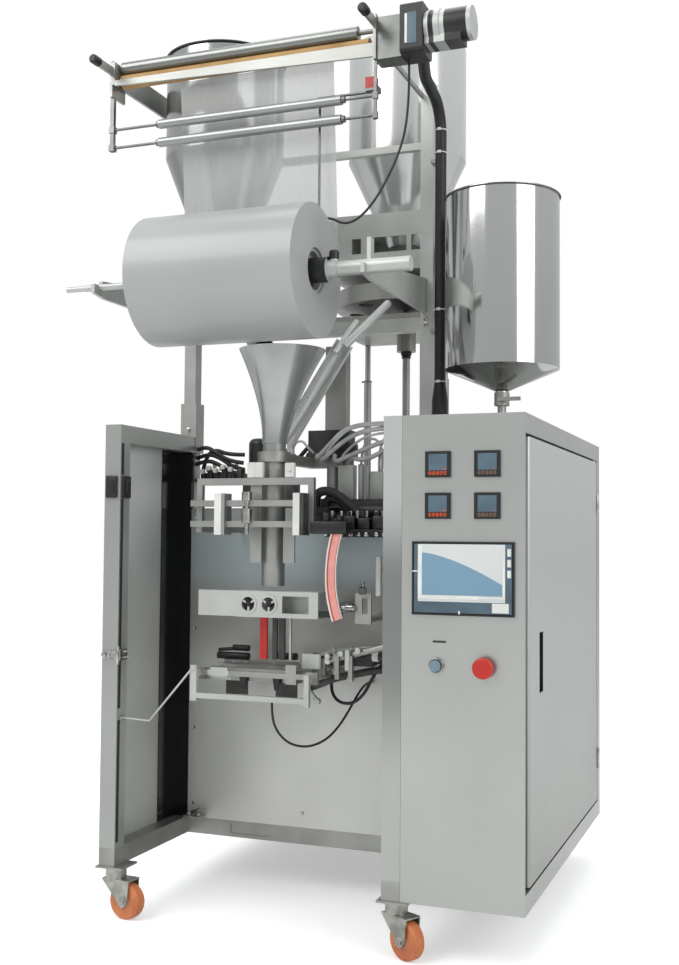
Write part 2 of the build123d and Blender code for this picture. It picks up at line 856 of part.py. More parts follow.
def hangers():
    """Rods that hang from the end plates and carry the axles, and the film sensor's rod."""
    left = left_arm_x - end_plate / 2
    right = right_arm_x + end_plate / 2
    frame = None
    for x, size in ((left, hanger_size), (right, right_hanger_size)):
        half = size / 2
        rod = block(x - half, x + half, hanger_y - half, hanger_y + half, hanger_low,
                    end_plate_low)
        if frame is None:
            frame = rod
        else:
            frame = frame + rod
        for z in (upper_guide_z, lower_guide_z):
            frame = frame + block(x - half - 2, x + half + 2, hanger_y - half - 2,
                                  hanger_y + half + 2, z - 7, z + 7)
    for z in (upper_guide_z, lower_guide_z):
        frame = frame + rod_x(guide_axle / 2, left, right, hanger_y, z)
        for x in (guide_left - 7, guide_left + guide_length + 1):
            frame = frame + rod_x(guide_axle / 2 + 4, x, x + 6, hanger_y, z)
    radius = sensor_rod_diameter / 2
    frame = frame + rod_x(radius, sensor_rod_left, right, sensor_rod_y, sensor_rod_z)
    frame = frame + block(right - 4, right + 4, hanger_y, sensor_rod_y + radius + 2,
                          sensor_rod_z - 6, sensor_rod_z + 6)
    frame = frame + rod_z(radius - 0.5, sensor_rod_left + radius, sensor_rod_y,
                          sensor_head_low + 4, sensor_rod_z)
    frame = frame + block(sensor_rod_left - 6, sensor_rod_left + 12, sensor_rod_y - 7,
                          sensor_rod_y + 7, sensor_head_low, sensor_head_low + sensor_head_height)
    return frame + block(switch_right - switch_width, switch_right, sensor_rod_y - 9,
                         sensor_rod_y + 9, sensor_rod_z, sensor_rod_z + switch_height)


def guide_roller(z):
    """Tube that turns on a fixed axle."""
    roller = rod_x(guide_diameter / 2, guide_left, guide_left + guide_length, hanger_y, z)
    bore = rod_x(guide_axle / 2 + journal_clearance, guide_left - 1,
                 guide_left + guide_length + 1, hanger_y, z)
    return roller - bore


def shell_of_revolution(outline, wall):
    """Thin shell made by turning an outline of (radius, height) points, open at both ends."""
    inner = [(radius - wall, height) for radius, height in outline]
    points = outline + inner[::-1]
    face = make_face(Plane.XZ * Polyline(*points, close=True))
    return revolve(face, Axis.Z)


def cone_drop(diameter, angle):
    """Height of a hopper's cone."""
    return (diameter - hopper_neck_diameter) / 2 / math.tan(math.radians(angle))


left_outlet = (left_hopper_top - hopper_cylinder - cone_drop(hopper_diameter, hopper_cone_angle)
               - hopper_neck)


def hopper(x, y, top, diameter, cylinder, angle):
    """Round hopper with a cone and a short neck."""
    radius = diameter / 2
    neck = hopper_neck_diameter / 2
    waist = top - cylinder
    low = waist - cone_drop(diameter, angle)
    outline = [(radius, top), (radius, waist), (neck, low), (neck, low - hopper_neck)]
    return Pos(x, y, 0) * shell_of_revolution(outline, hopper_wall)


def liquid_hopper():
    """Polished hopper with a rolled rim, over the cabinet."""
    radius = liquid_diameter / 2
    neck = liquid_neck / 2
    low = liquid_low - liquid_cone
    outline = [(radius, liquid_high), (radius, liquid_low), (neck, low), (neck, low - 8)]
    shell = shell_of_revolution(outline, liquid_wall)
    rim = Pos(0, 0, liquid_high) * Torus(radius - liquid_wall, rim_radius)
    return Pos(liquid_x, liquid_y, 0) * (shell + rim)


def liquid_valve():
    """Valve body with its lever, between the hopper and the cabinet top."""
    high = liquid_low - liquid_cone - 8
    body = rod_z(liquid_neck / 2 + 3, liquid_x, liquid_y, high - 22, high + 6)
    bore = rod_z(liquid_neck / 2 + 0.1, liquid_x, liquid_y, high, high + 7)
    body = body - bore
    pipe = rod_z(9, liquid_x, liquid_y, frame_top, high - 20)
    flange = rod_z(26, liquid_x, liquid_y, frame_top, frame_top + 6)
    lever = block(liquid_x - 4, liquid_x + 44, liquid_y - 24, liquid_y - 18,
                  high - 14, high - 6)
    stem = rod_y(4, liquid_x, liquid_y - 24, liquid_y, high - 10)
    return body + pipe + flange + lever + stem


disc_x = right_hopper_x
disc_y = right_hopper_y
disc_high = disc_low + disc_thickness
filler_front = column_y + column / 2 + filler_gap
filler_right = 2 * disc_x - filler_left
filler_back = 2 * disc_y - filler_front
post_inset = filler_post / 2 + 1
post_x = (filler_left + post_inset, filler_right - post_inset)
post_y = (filler_front + post_inset, filler_back - post_inset)
cover_low = disc_high + 28
hood_high = cover_low + hood_height
band_low = hood_high + window_height
band_high = band_low + band_height


def filler_base():
    """Base plate on the cross beam, with the bearing of the disc and four posts."""
    plate_high = base_plate_low + base_plate_thickness
    plate = block(filler_left, filler_right, filler_front, filler_back, base_plate_low,
                  plate_high)
    tongue = block(filler_left, right_column_x - column / 2 - filler_gap,
                   column_y - column / 2 + 2, filler_front, base_plate_low, plate_high)
    base = plate + tongue
    bearing = rod_z(hub_diameter / 2, disc_x, disc_y, base_plate_low, disc_low - 8)
    base = base + bearing - rod_z(drive_rod_diameter / 2 + 0.4, disc_x, disc_y,
                                  base_plate_low - 1, disc_low)
    for x in post_x:
        for y in post_y:
            base = base + rod_z(filler_post / 2, x, y, base_plate_low, cover_low)
    return base


def filler_top():
    """Folded hood over the cup disc, and the windowed box round the hopper's cone."""
    hood = block(filler_left, filler_right, filler_front, filler_back, cover_low, hood_high)
    hood = hood - block(filler_left + hood_wall, filler_right - hood_wall,
                        filler_front + hood_wall, filler_back - hood_wall,
                        cover_low + hood_wall, hood_high - hood_wall)
    x0 = disc_x - top_box_width / 2
    x1 = disc_x + top_box_width / 2
    y0 = disc_y - top_box_depth / 2
    y1 = disc_y + top_box_depth / 2
    wall = top_box_wall
    band = block(x0, x1, y0, y1, band_low, band_high)
    band = band - block(x0 + wall, x1 - wall, y0 + wall, y1 - wall, band_low - 1,
                        band_high - wall)
    top = hood + band
    for start, width in mullions:
        for y in (y0, y1 - mullion_depth):
            top = top + block(x0 + start, x0 + start + width, y, y + mullion_depth,
                              hood_high, band_low + wall)
    waist = right_hopper_top - right_hopper_cylinder
    slope = math.tan(math.radians(right_hopper_cone_angle))
    hole = right_hopper_diameter / 2 - (waist - band_high) * slope + 1
    top = top - rod_z(hole, disc_x, disc_y, band_high - wall - 1, band_high + 1)
    return top - rod_z(hopper_neck_diameter / 2 + 2, disc_x, disc_y, cover_low - 1,
                       hood_high + 1)


def turntable():
    """Cup disc on its drive rod."""
    disc = rod_z(disc_diameter / 2, disc_x, disc_y, disc_low, disc_high)
    for index in range(cup_count):
        angle = 2 * math.pi * index / cup_count
        cup_x = disc_x + cup_circle / 2 * math.cos(angle)
        cup_y = disc_y + cup_circle / 2 * math.sin(angle)
        disc = disc - rod_z(cup_diameter / 2, cup_x, cup_y, disc_low - 1, disc_high + 1)
    return disc + rod_z(drive_rod_diameter / 2, disc_x, disc_y, deck_height + 20, disc_low)


def filler_legs():
    """Two rear legs and the housing round the drive rod, down to the deck."""
    solids = []
    for x in (leg_left_x, leg_right_x):
        leg = rod_z(leg_rod / 2, x, leg_y, deck_height, base_plate_low)
        leg = leg + rod_z(leg_sleeve / 2, x, leg_y, deck_height, leg_sleeve_top)
        solids.append(leg)
    housing = rod_z(drive_housing_diameter / 2, disc_x, disc_y,
                    base_plate_low - drive_housing_height, base_plate_low)
    bore = rod_z(drive_rod_diameter / 2 + 0.4, disc_x, disc_y,
                 base_plate_low - drive_housing_height - 1, base_plate_low + 1)
    solids.append(housing - bore)
    foot = rod_z(drive_housing_diameter / 2, disc_x, disc_y, deck_height, deck_height + 30)
    foot_bore = rod_z(drive_rod_diameter / 2 + 0.4, disc_x, disc_y, deck_height + 19.5,
                      deck_height + 31)
    solids.append(foot - foot_bore)
    return together(*solids)


def cross_beams():
    """Beam under the filler, and the upper bar that steadies the left hopper."""
    half = column / 2
    lower = block(left_column_x + half, right_column_x - half, column_y - half,
                  column_y + half, beam_height, beam_height + column)
    upper_low = left_hopper_top - hopper_cylinder + 10
    upper = block(left_hopper_x + 40, right_column_x - half, column_y - half,
                  column_y - half + 16, upper_low, upper_low + 16)
    upper = upper - rod_z(hopper_diameter / 2 + seam, left_hopper_x, left_hopper_y,
                          upper_low - 5, upper_low + 25)
    return together(lower, upper)


spout_radius = 9.0
trough_radius = 21.0
trough_top_x = 446.0
trough_top_z = 1238.0
trough_low_x = 318.0
trough_y = 232.0


def pipe(radius, start, end):
    """A cylinder between two points."""
    path = Vector(*end) - Vector(*start)
    middle = (Vector(*end) + Vector(*start)) * 0.5
    return Plane(origin=middle, z_dir=path) * Cylinder(radius, path.length)


def product_chutes():
    """Outlet gate of the left hopper and the tubes that lead to the forming funnel."""
    gate = block(left_hopper_x - 56, left_hopper_x + 56, left_hopper_y - 56,
                 left_hopper_y + 56, left_outlet - 24, left_outlet)
    gate = gate - rod_z(hopper_neck_diameter / 2 - hopper_wall, left_hopper_x, left_hopper_y,
                        left_outlet - 25, left_outlet + 1)
    drop = (left_hopper_x + 20, left_hopper_y - 10, left_outlet - 40)
    mouth = (former_x - 40, former_y + 20, funnel_top + 10)
    left = pipe(26, drop, mouth) - pipe(24, drop, mouth)
    collar = rod_z(40, left_hopper_x + 12, left_hopper_y - 5, left_outlet - 50, left_outlet - 24)
    collar = collar - rod_z(38, left_hopper_x + 12, left_hopper_y - 5, left_outlet - 48,
                            left_outlet)
    return gate + collar + left


def filler_chutes():
    """Two spouts from the cup disc and the open trough that they fill."""
    trough_start = (trough_top_x, trough_y + 34, trough_top_z)
    trough_end = (trough_low_x, trough_y, mount_top + 26)
    outer = pipe(trough_radius, trough_start, trough_end)
    inner = pipe(trough_radius - 2, trough_start, trough_end)
    run = Vector(*trough_end) - Vector(*trough_start)
    across = run.cross(Vector(0, -1, 0)).normalized()
    open_side = run.cross(across).normalized()
    if open_side.Y > 0:
        open_side = open_side * -1
    middle = (Vector(*trough_start) + Vector(*trough_end)) * 0.5 + open_side * trough_radius
    cut = Plane(origin=middle, z_dir=run, x_dir=across) * Box(
        trough_radius * 3, trough_radius * 1.6, run.length + 60)
    trough = outer - inner - cut
    foot_x = trough_low_x + 4
    foot = block(foot_x - 7, foot_x + 7, trough_y + trough_radius - 4, trough_y + trough_radius + 8,
                 mount_top + seam, mount_top + 44)
    trough = trough + (foot - pipe(trough_radius - 1, trough_start, trough_end))
    spout = pipe(spout_radius, (534, 300, base_plate_low + 26), (446, 268, trough_top_z - 6))
    spout = spout + Pos(534, 300, base_plate_low + 26) * Sphere(spout_radius)
    second = pipe(spout_radius - 1, (462, 304, base_plate_low - 8), (424, 262, trough_top_z - 22))
    return together(trough + spout + second)


def forming_funnel():
    """Collar that gathers the film, flaring and leaning to the right at its top."""
    outer = []
    inner = []
    mouth = funnel_diameter / 2
    throat = former_diameter / 2 + funnel_wall
    for level in range(funnel_levels):
        share = level / (funnel_levels - 1)
        radius = throat + (mouth - throat) * share ** funnel_flare
        x = former_x + funnel_shift * share
        z = former_top + (funnel_top - former_top) * share
        outer.append(Pos(x, former_y, z) * Circle(radius))
        inner.append(Pos(x, former_y, z) * Circle(radius - funnel_wall))
    return loft(outer) - loft(inner)


def forming_tube():
    """Tube round which the film is drawn."""
    tube_body = rod_z(former_diameter / 2, former_x, former_y, former_low, former_top)
    bore = rod_z(former_diameter / 2 - former_wall, former_x, former_y, former_low - 1,
                 former_top + 1)
    return tube_body - bore


def forming_mount():
    """Stand on the deck: two pillars, a block and a post, with the ring for the tube."""
    low = mount_top - ring_height
    block_low = mount_top
    back = pillar_y + stand_block_depth / 2
    front = pillar_y - pillar_diameter / 2
    stand = block(stand_block_left, stand_block_right, front, back, block_low,
                  block_low + stand_block_height)
    for side in (-1, 1):
        stand = stand + rod_z(pillar_diameter / 2, pillar_x + side * pillar_spacing / 2,
                              pillar_y, deck_height, block_low)
    stand = stand + block(pillar_x - stand_post_width / 2 - 8, pillar_x + stand_post_width / 2 - 8,
                          front, front + stand_post_depth, block_low, stand_post_top)
    arm = block(former_x - 12, former_x + 12, former_y, back, low, block_low)
    bridge = block(former_x - 12, pillar_x, front, back, low, block_low)
    ring = rod_z(former_diameter / 2 + 11, former_x, former_y, low, mount_top)
    bore = rod_z(former_diameter / 2, former_x, former_y, low - 1, mount_top + 1)
    return stand + arm + bridge + ring - bore


def film_web():
    """Film drawn down from the feed rollers to the back of the roll."""
    high = (feed_y + 1.2, drive_roller_z - drive_roller_diameter / 2 - 2)
    low = (roll_y + roll_diameter / 2 + 0.6, roll_z + 10)
    t = film_thickness
    outline = Polyline((high[0], high[1]), (high[0] + t, high[1]), (low[0] + t, low[1]),
                       (low[0], low[1]), close=True)
    web = extrude(make_face(Plane.YZ * outline), amount=web_width, dir=(1, 0, 0))
    return Pos(web_left, 0, 0) * web


def cable_conduit():
    """Conduit from the frame's top up the right column and forward to the gearbox."""
    x = right_column_x + column / 2 + conduit_gap + conduit_diameter / 2
    y = column_y - column / 2 - conduit_back + conduit_diameter / 2
    end_x = right_arm_x + end_plate + 52 + conduit_diameter / 2 + 2
    end_y = feed_y + gearbox_depth / 2
    end_z = drive_roller_z + conduit_end_rise
    points = [(x, y, frame_top), (x, y, end_z - 45), (x, y - 120, end_z - 18),
              (end_x, end_y + 34, end_z), (end_x, end_y, end_z)]
    path = FilletPolyline(*points, radius=[70, 120, 60])
    profile = Plane(origin=(x, y, frame_top), z_dir=(0, 0, 1)) * Circle(conduit_diameter / 2)
    return sweep(profile, path=path)


def guide_frame():
    """Bar, posts and rails that steady the film, with slide blocks, screw and blades."""
    x0 = guide_frame_left
    x1 = guide_frame_right
    y = former_y - former_diameter / 2 - 14
    half = guide_bar_depth / 2
    bar_low = deck_height + guide_bar_above_deck - guide_bar_height / 2
    lowest = deck_height + lower_rail_above_deck - 18
    frame = block(x0, x1, y - half, y + half, bar_low, bar_low + guide_bar_height)
    for x in (x0, x1 - guide_post_width):
        frame = frame + block(x, x + guide_post_width, y - half, y + half, lowest,
                              bar_low + guide_bar_height)
        frame = frame + block(x, x + guide_post_width, y, chamber_depth - sheet, lowest,
                              lowest + guide_bar_height)
    for rise in (upper_rail_above_deck, lower_rail_above_deck):
        z = deck_height + rise
        frame = frame + block(guide_rail_start, guide_rail_end, guide_rail_y,
                              guide_rail_y + guide_rail_depth, z - guide_rail_height / 2,
                              z + guide_rail_height / 2)
        for x in (x0, x0 + 90, guide_rail_end - guide_post_width):
            frame = frame + block(x, x + guide_post_width, guide_rail_y, y + half,
                                  z - guide_rail_height / 2, z + guide_rail_height / 2)
        frame = frame + block(x0, x1, y - half, y + half, z - guide_rail_height / 2,
                              z + guide_rail_height / 2)
    block_high = deck_height + block_above_deck
    for x in block_places:
        frame = frame + block(x - block_width / 2, x + block_width / 2, guide_rail_y - 8, y,
                              block_high - block_height, block_high)
    high = deck_height + screw_top_above_deck
    frame = frame + rod_z(screw_diameter / 2, screw_x, guide_rail_y - 2, high - screw_length,
                          high - 10)
    frame = frame + rod_z(screw_knob_diameter / 2, screw_x, guide_rail_y - 2, high - 18, high)
    frame = frame + rod_z(screw_knob_diameter / 2, screw_x, guide_rail_y - 2, high - 66,
                          high - 36)
    blade_tops = (bar_low + guide_bar_height / 2, deck_height + lower_rail_above_deck)
    for x, top in zip(blade_places, blade_tops):
        frame = frame + block(x - blade_width / 2, x + blade_width / 2, y + half - 2,
                              y + half - 2 + blade_thickness, blade_low, top)
    return frame


def pull_unit():
    """Housing of the pulling wheels with its windows, strips and carrying arms."""
    y1 = pull_y + pull_depth
    z1 = pull_low + pull_height
    wall = pull_wall
    middle = (pull_low + z1) / 2
    housing = block(pull_front_left, pull_right, pull_y, y1, pull_low, z1)
    housing = housing - block(pull_front_left + wall, pull_right - wall, pull_y + wall, y1 + 1,
                              pull_low + wall, z1 - wall)
    housing = housing + block(pull_left, pull_front_left + 1, pull_y, pull_y + 12,
                              pull_low + 1, z1)
    radius = pull_wheel_diameter / 2
    for x in pull_wheel_places:
        housing = housing - rod_y(radius - 1, x, pull_y - 1, pull_y + wall + 1, middle)
        wheel = rod_y(radius, x, pull_y - 2, pull_y + 9, middle)
        wheel = wheel - rod_y(radius - 5, x, pull_y - 3, pull_y + 10, middle)
        wheel = wheel + rod_y(5, x, pull_y - 2, y1 - 6, middle)
        spoke = block(x - 2, x + 2, pull_y, pull_y + 6, middle - radius + 3, middle)
        for turn in (0, 120, 240):
            wheel = wheel + Pos(x, 0, middle) * Rot(0, turn, 0) * Pos(-x, 0, -middle) * spoke
        housing = housing + wheel
    back_plate = block(pull_front_left + wall - 1, pull_right - wall + 1, y1 - 8, y1 - 5,
                       pull_low + wall - 1, z1 - wall + 1)
    housing = housing + back_plate
    half = pull_window_height / 2
    housing = housing - block(pull_window_left, pull_window_right, pull_y - 1,
                              pull_y + wall + 1, middle - half, middle + half)
    for start, width in strip_places:
        housing = housing + block(start, start + width, y1 - 7, y1, strip_low, pull_low + wall)
    for x in (pull_left + 14, pull_right - 22):
        housing = housing + block(x, x + 18, pull_y + wall, chamber_depth - sheet,
                                  pull_low + 10, pull_low + 28)
    x0 = bracket_left
    x1 = bracket_right
    bracket = block(x0, x1, bracket_y, bracket_y + 6, bracket_low, bracket_high)
    bracket = bracket + block(x0 + 4, x1 - 4, bracket_y + 5, chamber_depth - sheet,
                              bracket_low + 4, bracket_low + 12)
    slot_x = (x0 + x1) / 2 + 4
    slot_z = (bracket_low + bracket_high) / 2 + 6
    bracket = bracket - block(slot_x - bracket_slot_width / 2, slot_x + bracket_slot_width / 2,
                              bracket_y - 1, bracket_y + 7, slot_z - bracket_slot_height / 2,
                              slot_z + bracket_slot_height / 2)
    return together(housing, bracket)


def jaw_frame():
    """Frame of the sealing jaws on two rods, with the lever from the chamber's side."""
    x0 = jaw_frame_left
    x1 = jaw_frame_right
    y0 = jaw_frame_y
    z0 = jaw_frame_low
    z1 = jaw_frame_high
    frame = block(x0, x0 + jaw_post_width, y0, y0 + jaw_bar, z0 - 6, z1)
    frame = frame + block(x1 - jaw_bar, x1, y0, y0 + jaw_bar, z0 - 6, z1 - 10)
    frame = frame + block(x0, x1, y0, y0 + jaw_bar, z0, z0 + jaw_bar)
    for x in rod_places:
        frame = frame + rod_y(slide_rod / 2, x, y0 + jaw_bar - 1, chamber_depth - sheet,
                              jaw_middle)
    post = block(lever_start_x - lever_bar / 2, lever_start_x + lever_bar / 2,
                 lever_y - lever_bar / 2, lever_y + lever_bar / 2, jaw_middle,
                 lever_start_z)
    start = (lever_start_x, lever_y, lever_start_z)
    end = (chamber_right - seam - lever_bar, lever_y, lever_end_z)
    lever = pipe(lever_bar / 2, start, end) + Pos(*start) * Sphere(lever_bar / 2)
    foot = rod_x(lever_bar / 2 + 5, end[0] - 4, chamber_right, lever_y, lever_end_z)
    frame = frame + post + lever + foot
    for x in (lever_start_x + 32, lever_start_x + 62):
        frame = frame + block(x, x + 9, lever_y - 14, lever_y - 5, jaw_middle - 4,
                              lever_start_z + 16)
    return frame


def jaw(y_face, side):
    """One sealing jaw: carrier on the two rods, and a heated bar with a ribbed face."""
    z = jaw_middle
    x0, x1 = rod_places
    back = y_face + side * jaw_depth
    low_y = min(y_face, back)
    high_y = max(y_face, back)
    body = block(jaw_left, jaw_right, low_y, high_y, jaw_low, jaw_low + jaw_height)
    for index in range(5):
        groove_z = jaw_low + 3 + index * 5
        groove = block(jaw_left - 1, jaw_right + 1, y_face - 1, y_face + 1, groove_z, groove_z + 2)
        body = body - groove
    far = back + side * jaw_carrier_depth
    near = min(back, far)
    last = max(back, far)
    body = body + block(x0, x1, near, last, z - 3, z + 8)
    for x in (x0, x1):
        body = body + block(x - 13, x + 13, near, last, z - 12, z + 12)
    if side < 0:
        body = body + block(x0 + 26, x0 + 66, near, last, z - 5, z + 14)
        body = body + block(jaw_right - 24, jaw_right, near, last, z - 14, z + 26)
        for x in leg_places:
            top = leg_top_width / 2
            outline = Polyline((x - top, z - 3), (x + top, z - 3), (x + top / 2, z - leg_height),
                               (x - top / 2, z - leg_height), close=True)
            leg = extrude(make_face(Plane.XZ * outline), amount=jaw_carrier_depth - 4,
                          dir=(0, 1, 0))
            body = body + Pos(0, near + 2, 0) * leg
    for x in (x0, x1):
        body = body - rod_y(slide_rod / 2 + journal_clearance, x, 0, chamber_depth, z)
    return body


def cable(points, diameter):
    """A round cable along straight runs joined by arcs as wide as the runs allow."""
    radii = []
    for before, corner, after in zip(points, points[1:], points[2:]):
        run_in = Vector(*corner) - Vector(*before)
        run_out = Vector(*after) - Vector(*corner)
        turn = math.radians(run_in.get_angle(run_out))
        radii.append(0.45 * min(run_in.length, run_out.length) / math.tan(turn / 2))
    path = FilletPolyline(*points, radius=radii)
    start = Vector(*points[0])
    profile = Plane(origin=start, z_dir=Vector(*points[1]) - start) * Circle(diameter / 2)
    tube_body = sweep(profile, path=path)
    section = math.pi * diameter ** 2 / 4
    print("cable length", round(path.length, 1), "radii", [round(radius) for radius in radii],
          "volume share", round(tube_body.volume / section / path.length, 4))
    return tube_body


sensor_x = sensor_rod_left + 12
sensor_z = sensor_head_low + sensor_head_height / 2
gearbox_low = drive_roller_z + 16 - gearbox_height / 2 - 4
sensor_cable_points = [
    (sensor_x, 41, sensor_z), (sensor_x + 18, 41, sensor_z), (sensor_x + 42, 44, sensor_z - 15),
    (sensor_x + 72, 48, sensor_z - 8), (sensor_x + 104, 53, sensor_z + 25),
    (sensor_x + 130, 58, sensor_z + 70), (sensor_x + 152, 61, sensor_z + 116),
    (sensor_x + 168, 60, sensor_z + 162), (sensor_x + 176, 56, sensor_z + 212),
    (sensor_x + 180, 50, sensor_z + 260), (sensor_x + 181, 46, gearbox_low - 24),
    (sensor_x + 181, 46, gearbox_low)]
jaw_end_x, jaw_end_z = jaw_gland
panel_y = chamber_depth - sheet - gland_length
jaw_cable_points = [
    (jaw_cable_x, jaw_frame_y + 6, jaw_frame_low), (jaw_cable_x, jaw_frame_y + 6, 436),
    (jaw_cable_x + 6, 78, 404), (jaw_cable_x + 26, 96, 376), (jaw_cable_x + 58, 122, 366),
    (jaw_cable_x + 90, 150, 380), (jaw_cable_x + 110, 180, 410), (jaw_cable_x + 121, 214, 444),
    (jaw_cable_x + 126, 248, 470), (jaw_end_x, 284, jaw_end_z), (jaw_end_x, panel_y, jaw_end_z)]
back_x, back_z = back_gland
back_cable_points = [
    (back_x, panel_y, back_z), (back_x, panel_y - 26, back_z), (back_x + 6, 254, 482),
    (back_x + 22, 228, 460), (back_x + 48, 210, 449), (back_x + 78, 203, 452),
    (back_x + 102, 202, 472), (back_x + 118, 203, 503), (back_x + 136, 206, 534),
    (back_x + 162, wall_gland_y - 2, 556), (chamber_right - gland_length - 20, wall_gland_y,
                                            wall_gland_z),
    (chamber_right - gland_length, wall_gland_y, wall_gland_z)]


# Middle of the base, taken over all solid pieces
left_reach = shaft_left
right_reach = liquid_x + liquid_diameter / 2 + rim_radius - liquid_wall
front_reach = roll_y - roll_diameter / 2
back_reach = frame_depth - caster_inset + caster_plate / 2
origin_x = (left_reach + right_reach) / 2
origin_y = (front_reach + back_reach) / 2
to_origin = Pos(-origin_x, -origin_y, 0)


def build():
    """All nodes by name, in their final place."""
    nodes = {}
    for place, (x, y) in caster_places.items():
        nodes["caster_fork_" + place] = caster_fork(x, y, caster_turns[place])
        nodes["caster_wheel_" + place] = caster_wheel(x, y, caster_turns[place])
    nodes["base_frame"] = base_frame()
    nodes["front_posts"] = together(*posts())
    nodes["left_top_rail"], nodes["left_side_panel"], nodes["left_window"] = left_side()
    nodes["back_panel"] = back_panel()
    nodes["rear_housing"] = rear_housing()
    nodes["right_wall"] = right_wall()
    nodes["cabinet_shell"] = cabinet_shell()
    nodes["control_panel"] = control_panel()
    nodes["touch_screen"] = touch_screen()
    nodes["temperature_controllers"] = temperature_controllers()
    nodes["start_button"] = start_button()
    nodes["stop_button"] = stop_button()
    nodes["side_door"] = side_door()
    nodes["upper_columns"] = together(*upper_columns())
    nodes["cross_beams"] = cross_beams()
    nodes["roll_arms"] = together(*roll_arms())
    nodes["film_roll"] = film_roll()
    nodes["roll_shaft"] = roll_shaft()
    nodes["feed_arms"] = together(*feed_arms())
    nodes["nip_knobs"] = nip_knobs()
    nodes["top_bar"] = top_bar()
    nodes["pinch_roller"] = pinch_roller()
    nodes["drive_roller"] = drive_roller()
    nodes["feed_motor"] = feed_motor()
    nodes["roller_hangers"] = hangers()
    nodes["upper_guide_roller"] = guide_roller(upper_guide_z)
    nodes["lower_guide_roller"] = guide_roller(lower_guide_z)
    nodes["left_hopper"] = hopper(left_hopper_x, left_hopper_y, left_hopper_top,
                                  hopper_diameter, hopper_cylinder, hopper_cone_angle)
    nodes["right_hopper"] = hopper(right_hopper_x, right_hopper_y, right_hopper_top,
                                   right_hopper_diameter, right_hopper_cylinder,
                                   right_hopper_cone_angle)
    nodes["liquid_hopper"] = liquid_hopper()
    nodes["liquid_valve"] = liquid_valve()
    nodes["filler_base"] = filler_base()
    nodes["filler_top"] = filler_top()
    nodes["turntable"] = turntable()
    nodes["filler_legs"] = filler_legs()
    nodes["hopper_outlet"] = product_chutes()
    nodes["filler_chutes"] = filler_chutes()
    nodes["forming_funnel"] = forming_funnel()
    nodes["forming_tube"] = forming_tube()
    nodes["forming_mount"] = forming_mount()
    nodes["film_web"] = film_web()
    nodes["cable_conduit"] = cable_conduit()
    nodes["guide_frame"] = guide_frame()
    nodes["pull_unit"] = pull_unit()
    nodes["jaw_frame"] = jaw_frame()
    front_face = former_y - jaw_open
    back_face = former_y + jaw_open
    nodes["front_jaw"] = jaw(front_face, -1)
    nodes["rear_jaw"] = jaw(back_face, 1)
    nodes["sensor_cable"] = cable(sensor_cable_points, sensor_cable_diameter)
    nodes["jaw_cable"] = cable(jaw_cable_points, jaw_cable_diameter)
    nodes["back_cable"] = cable(back_cable_points, back_cable_diameter)
    return {name: to_origin * shape for name, shape in nodes.items()}


if __name__ == "__main__":
    os.makedirs("parts", exist_ok=True)
    for name, shape in build().items():
        export_step(shape, "parts/" + name + ".step")
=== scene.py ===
import json
import math

import bmesh
import bpy
from mathutils import Matrix, Vector


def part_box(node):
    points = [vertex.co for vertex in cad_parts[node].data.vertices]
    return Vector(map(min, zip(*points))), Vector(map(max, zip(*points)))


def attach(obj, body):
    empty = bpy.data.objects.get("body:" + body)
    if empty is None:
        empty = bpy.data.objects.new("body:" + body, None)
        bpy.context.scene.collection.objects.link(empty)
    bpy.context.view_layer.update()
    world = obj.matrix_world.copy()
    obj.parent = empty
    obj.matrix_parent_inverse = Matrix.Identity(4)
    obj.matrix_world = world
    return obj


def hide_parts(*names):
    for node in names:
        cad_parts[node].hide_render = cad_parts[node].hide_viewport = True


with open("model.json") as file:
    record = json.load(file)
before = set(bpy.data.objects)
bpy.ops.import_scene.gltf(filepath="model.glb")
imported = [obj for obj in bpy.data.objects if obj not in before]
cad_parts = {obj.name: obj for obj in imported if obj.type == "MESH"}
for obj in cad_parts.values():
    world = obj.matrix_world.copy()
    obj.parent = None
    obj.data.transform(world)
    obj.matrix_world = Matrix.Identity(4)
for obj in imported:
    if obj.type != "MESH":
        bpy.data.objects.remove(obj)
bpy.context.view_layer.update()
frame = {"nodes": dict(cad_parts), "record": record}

# The front left post stands at the corner that all places are measured from
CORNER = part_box("front_posts")[0]
MM = 0.001

# Places that several pieces share, in millimetres from that corner
RIGHT_WALL = 629.5
SHAFT_Y = -50
SHAFT_Z = 1329
CONDUIT_X = 650
CONDUIT_Y = 322.5
DISC_X = 505
DISC_Y = 530
ARM_THICKNESS = 8

COAT_ROUGHNESS = 0.12
BUMP_DEPTH = 0.0005
SHARP_ANGLE = 32
BELT_STEPS = 28
SLOT_STEPS = 12


def place(x, y, z):
    """A point given in millimetres from the machine's front left corner at the floor."""
    return Vector((CORNER[0] + x * MM, CORNER[1] + y * MM, z * MM))


# Colours and materials

def colour(text):
    """An sRGB hex value as linear red, green and blue, with full alpha."""
    parts = []
    for start in (0, 2, 4):
        value = int(text[start:start + 2], 16) / 255
        if value <= 0.04045:
            parts.append(value / 12.92)
        else:
            parts.append(((value + 0.055) / 1.055) ** 2.4)
    return (*parts, 1.0)


def add(tree, kind, links=None, settings=None, **sockets):
    """Adds a node, sets its values and links its inputs."""
    node = tree.nodes.new(kind)
    for name, value in (settings or {}).items():
        setattr(node, name, value)
    for name, value in sockets.items():
        node.inputs[name.replace("_", " ")].default_value = value
    for name, source in (links or {}).items():
        tree.links.new(source, node.inputs[name])
    return node


def new_material(name):
    """An empty node material with an output."""
    material = bpy.data.materials.new(name)
    material.use_nodes = True
    material.node_tree.nodes.clear()
    output = material.node_tree.nodes.new("ShaderNodeOutputMaterial")
    return material, material.node_tree, output


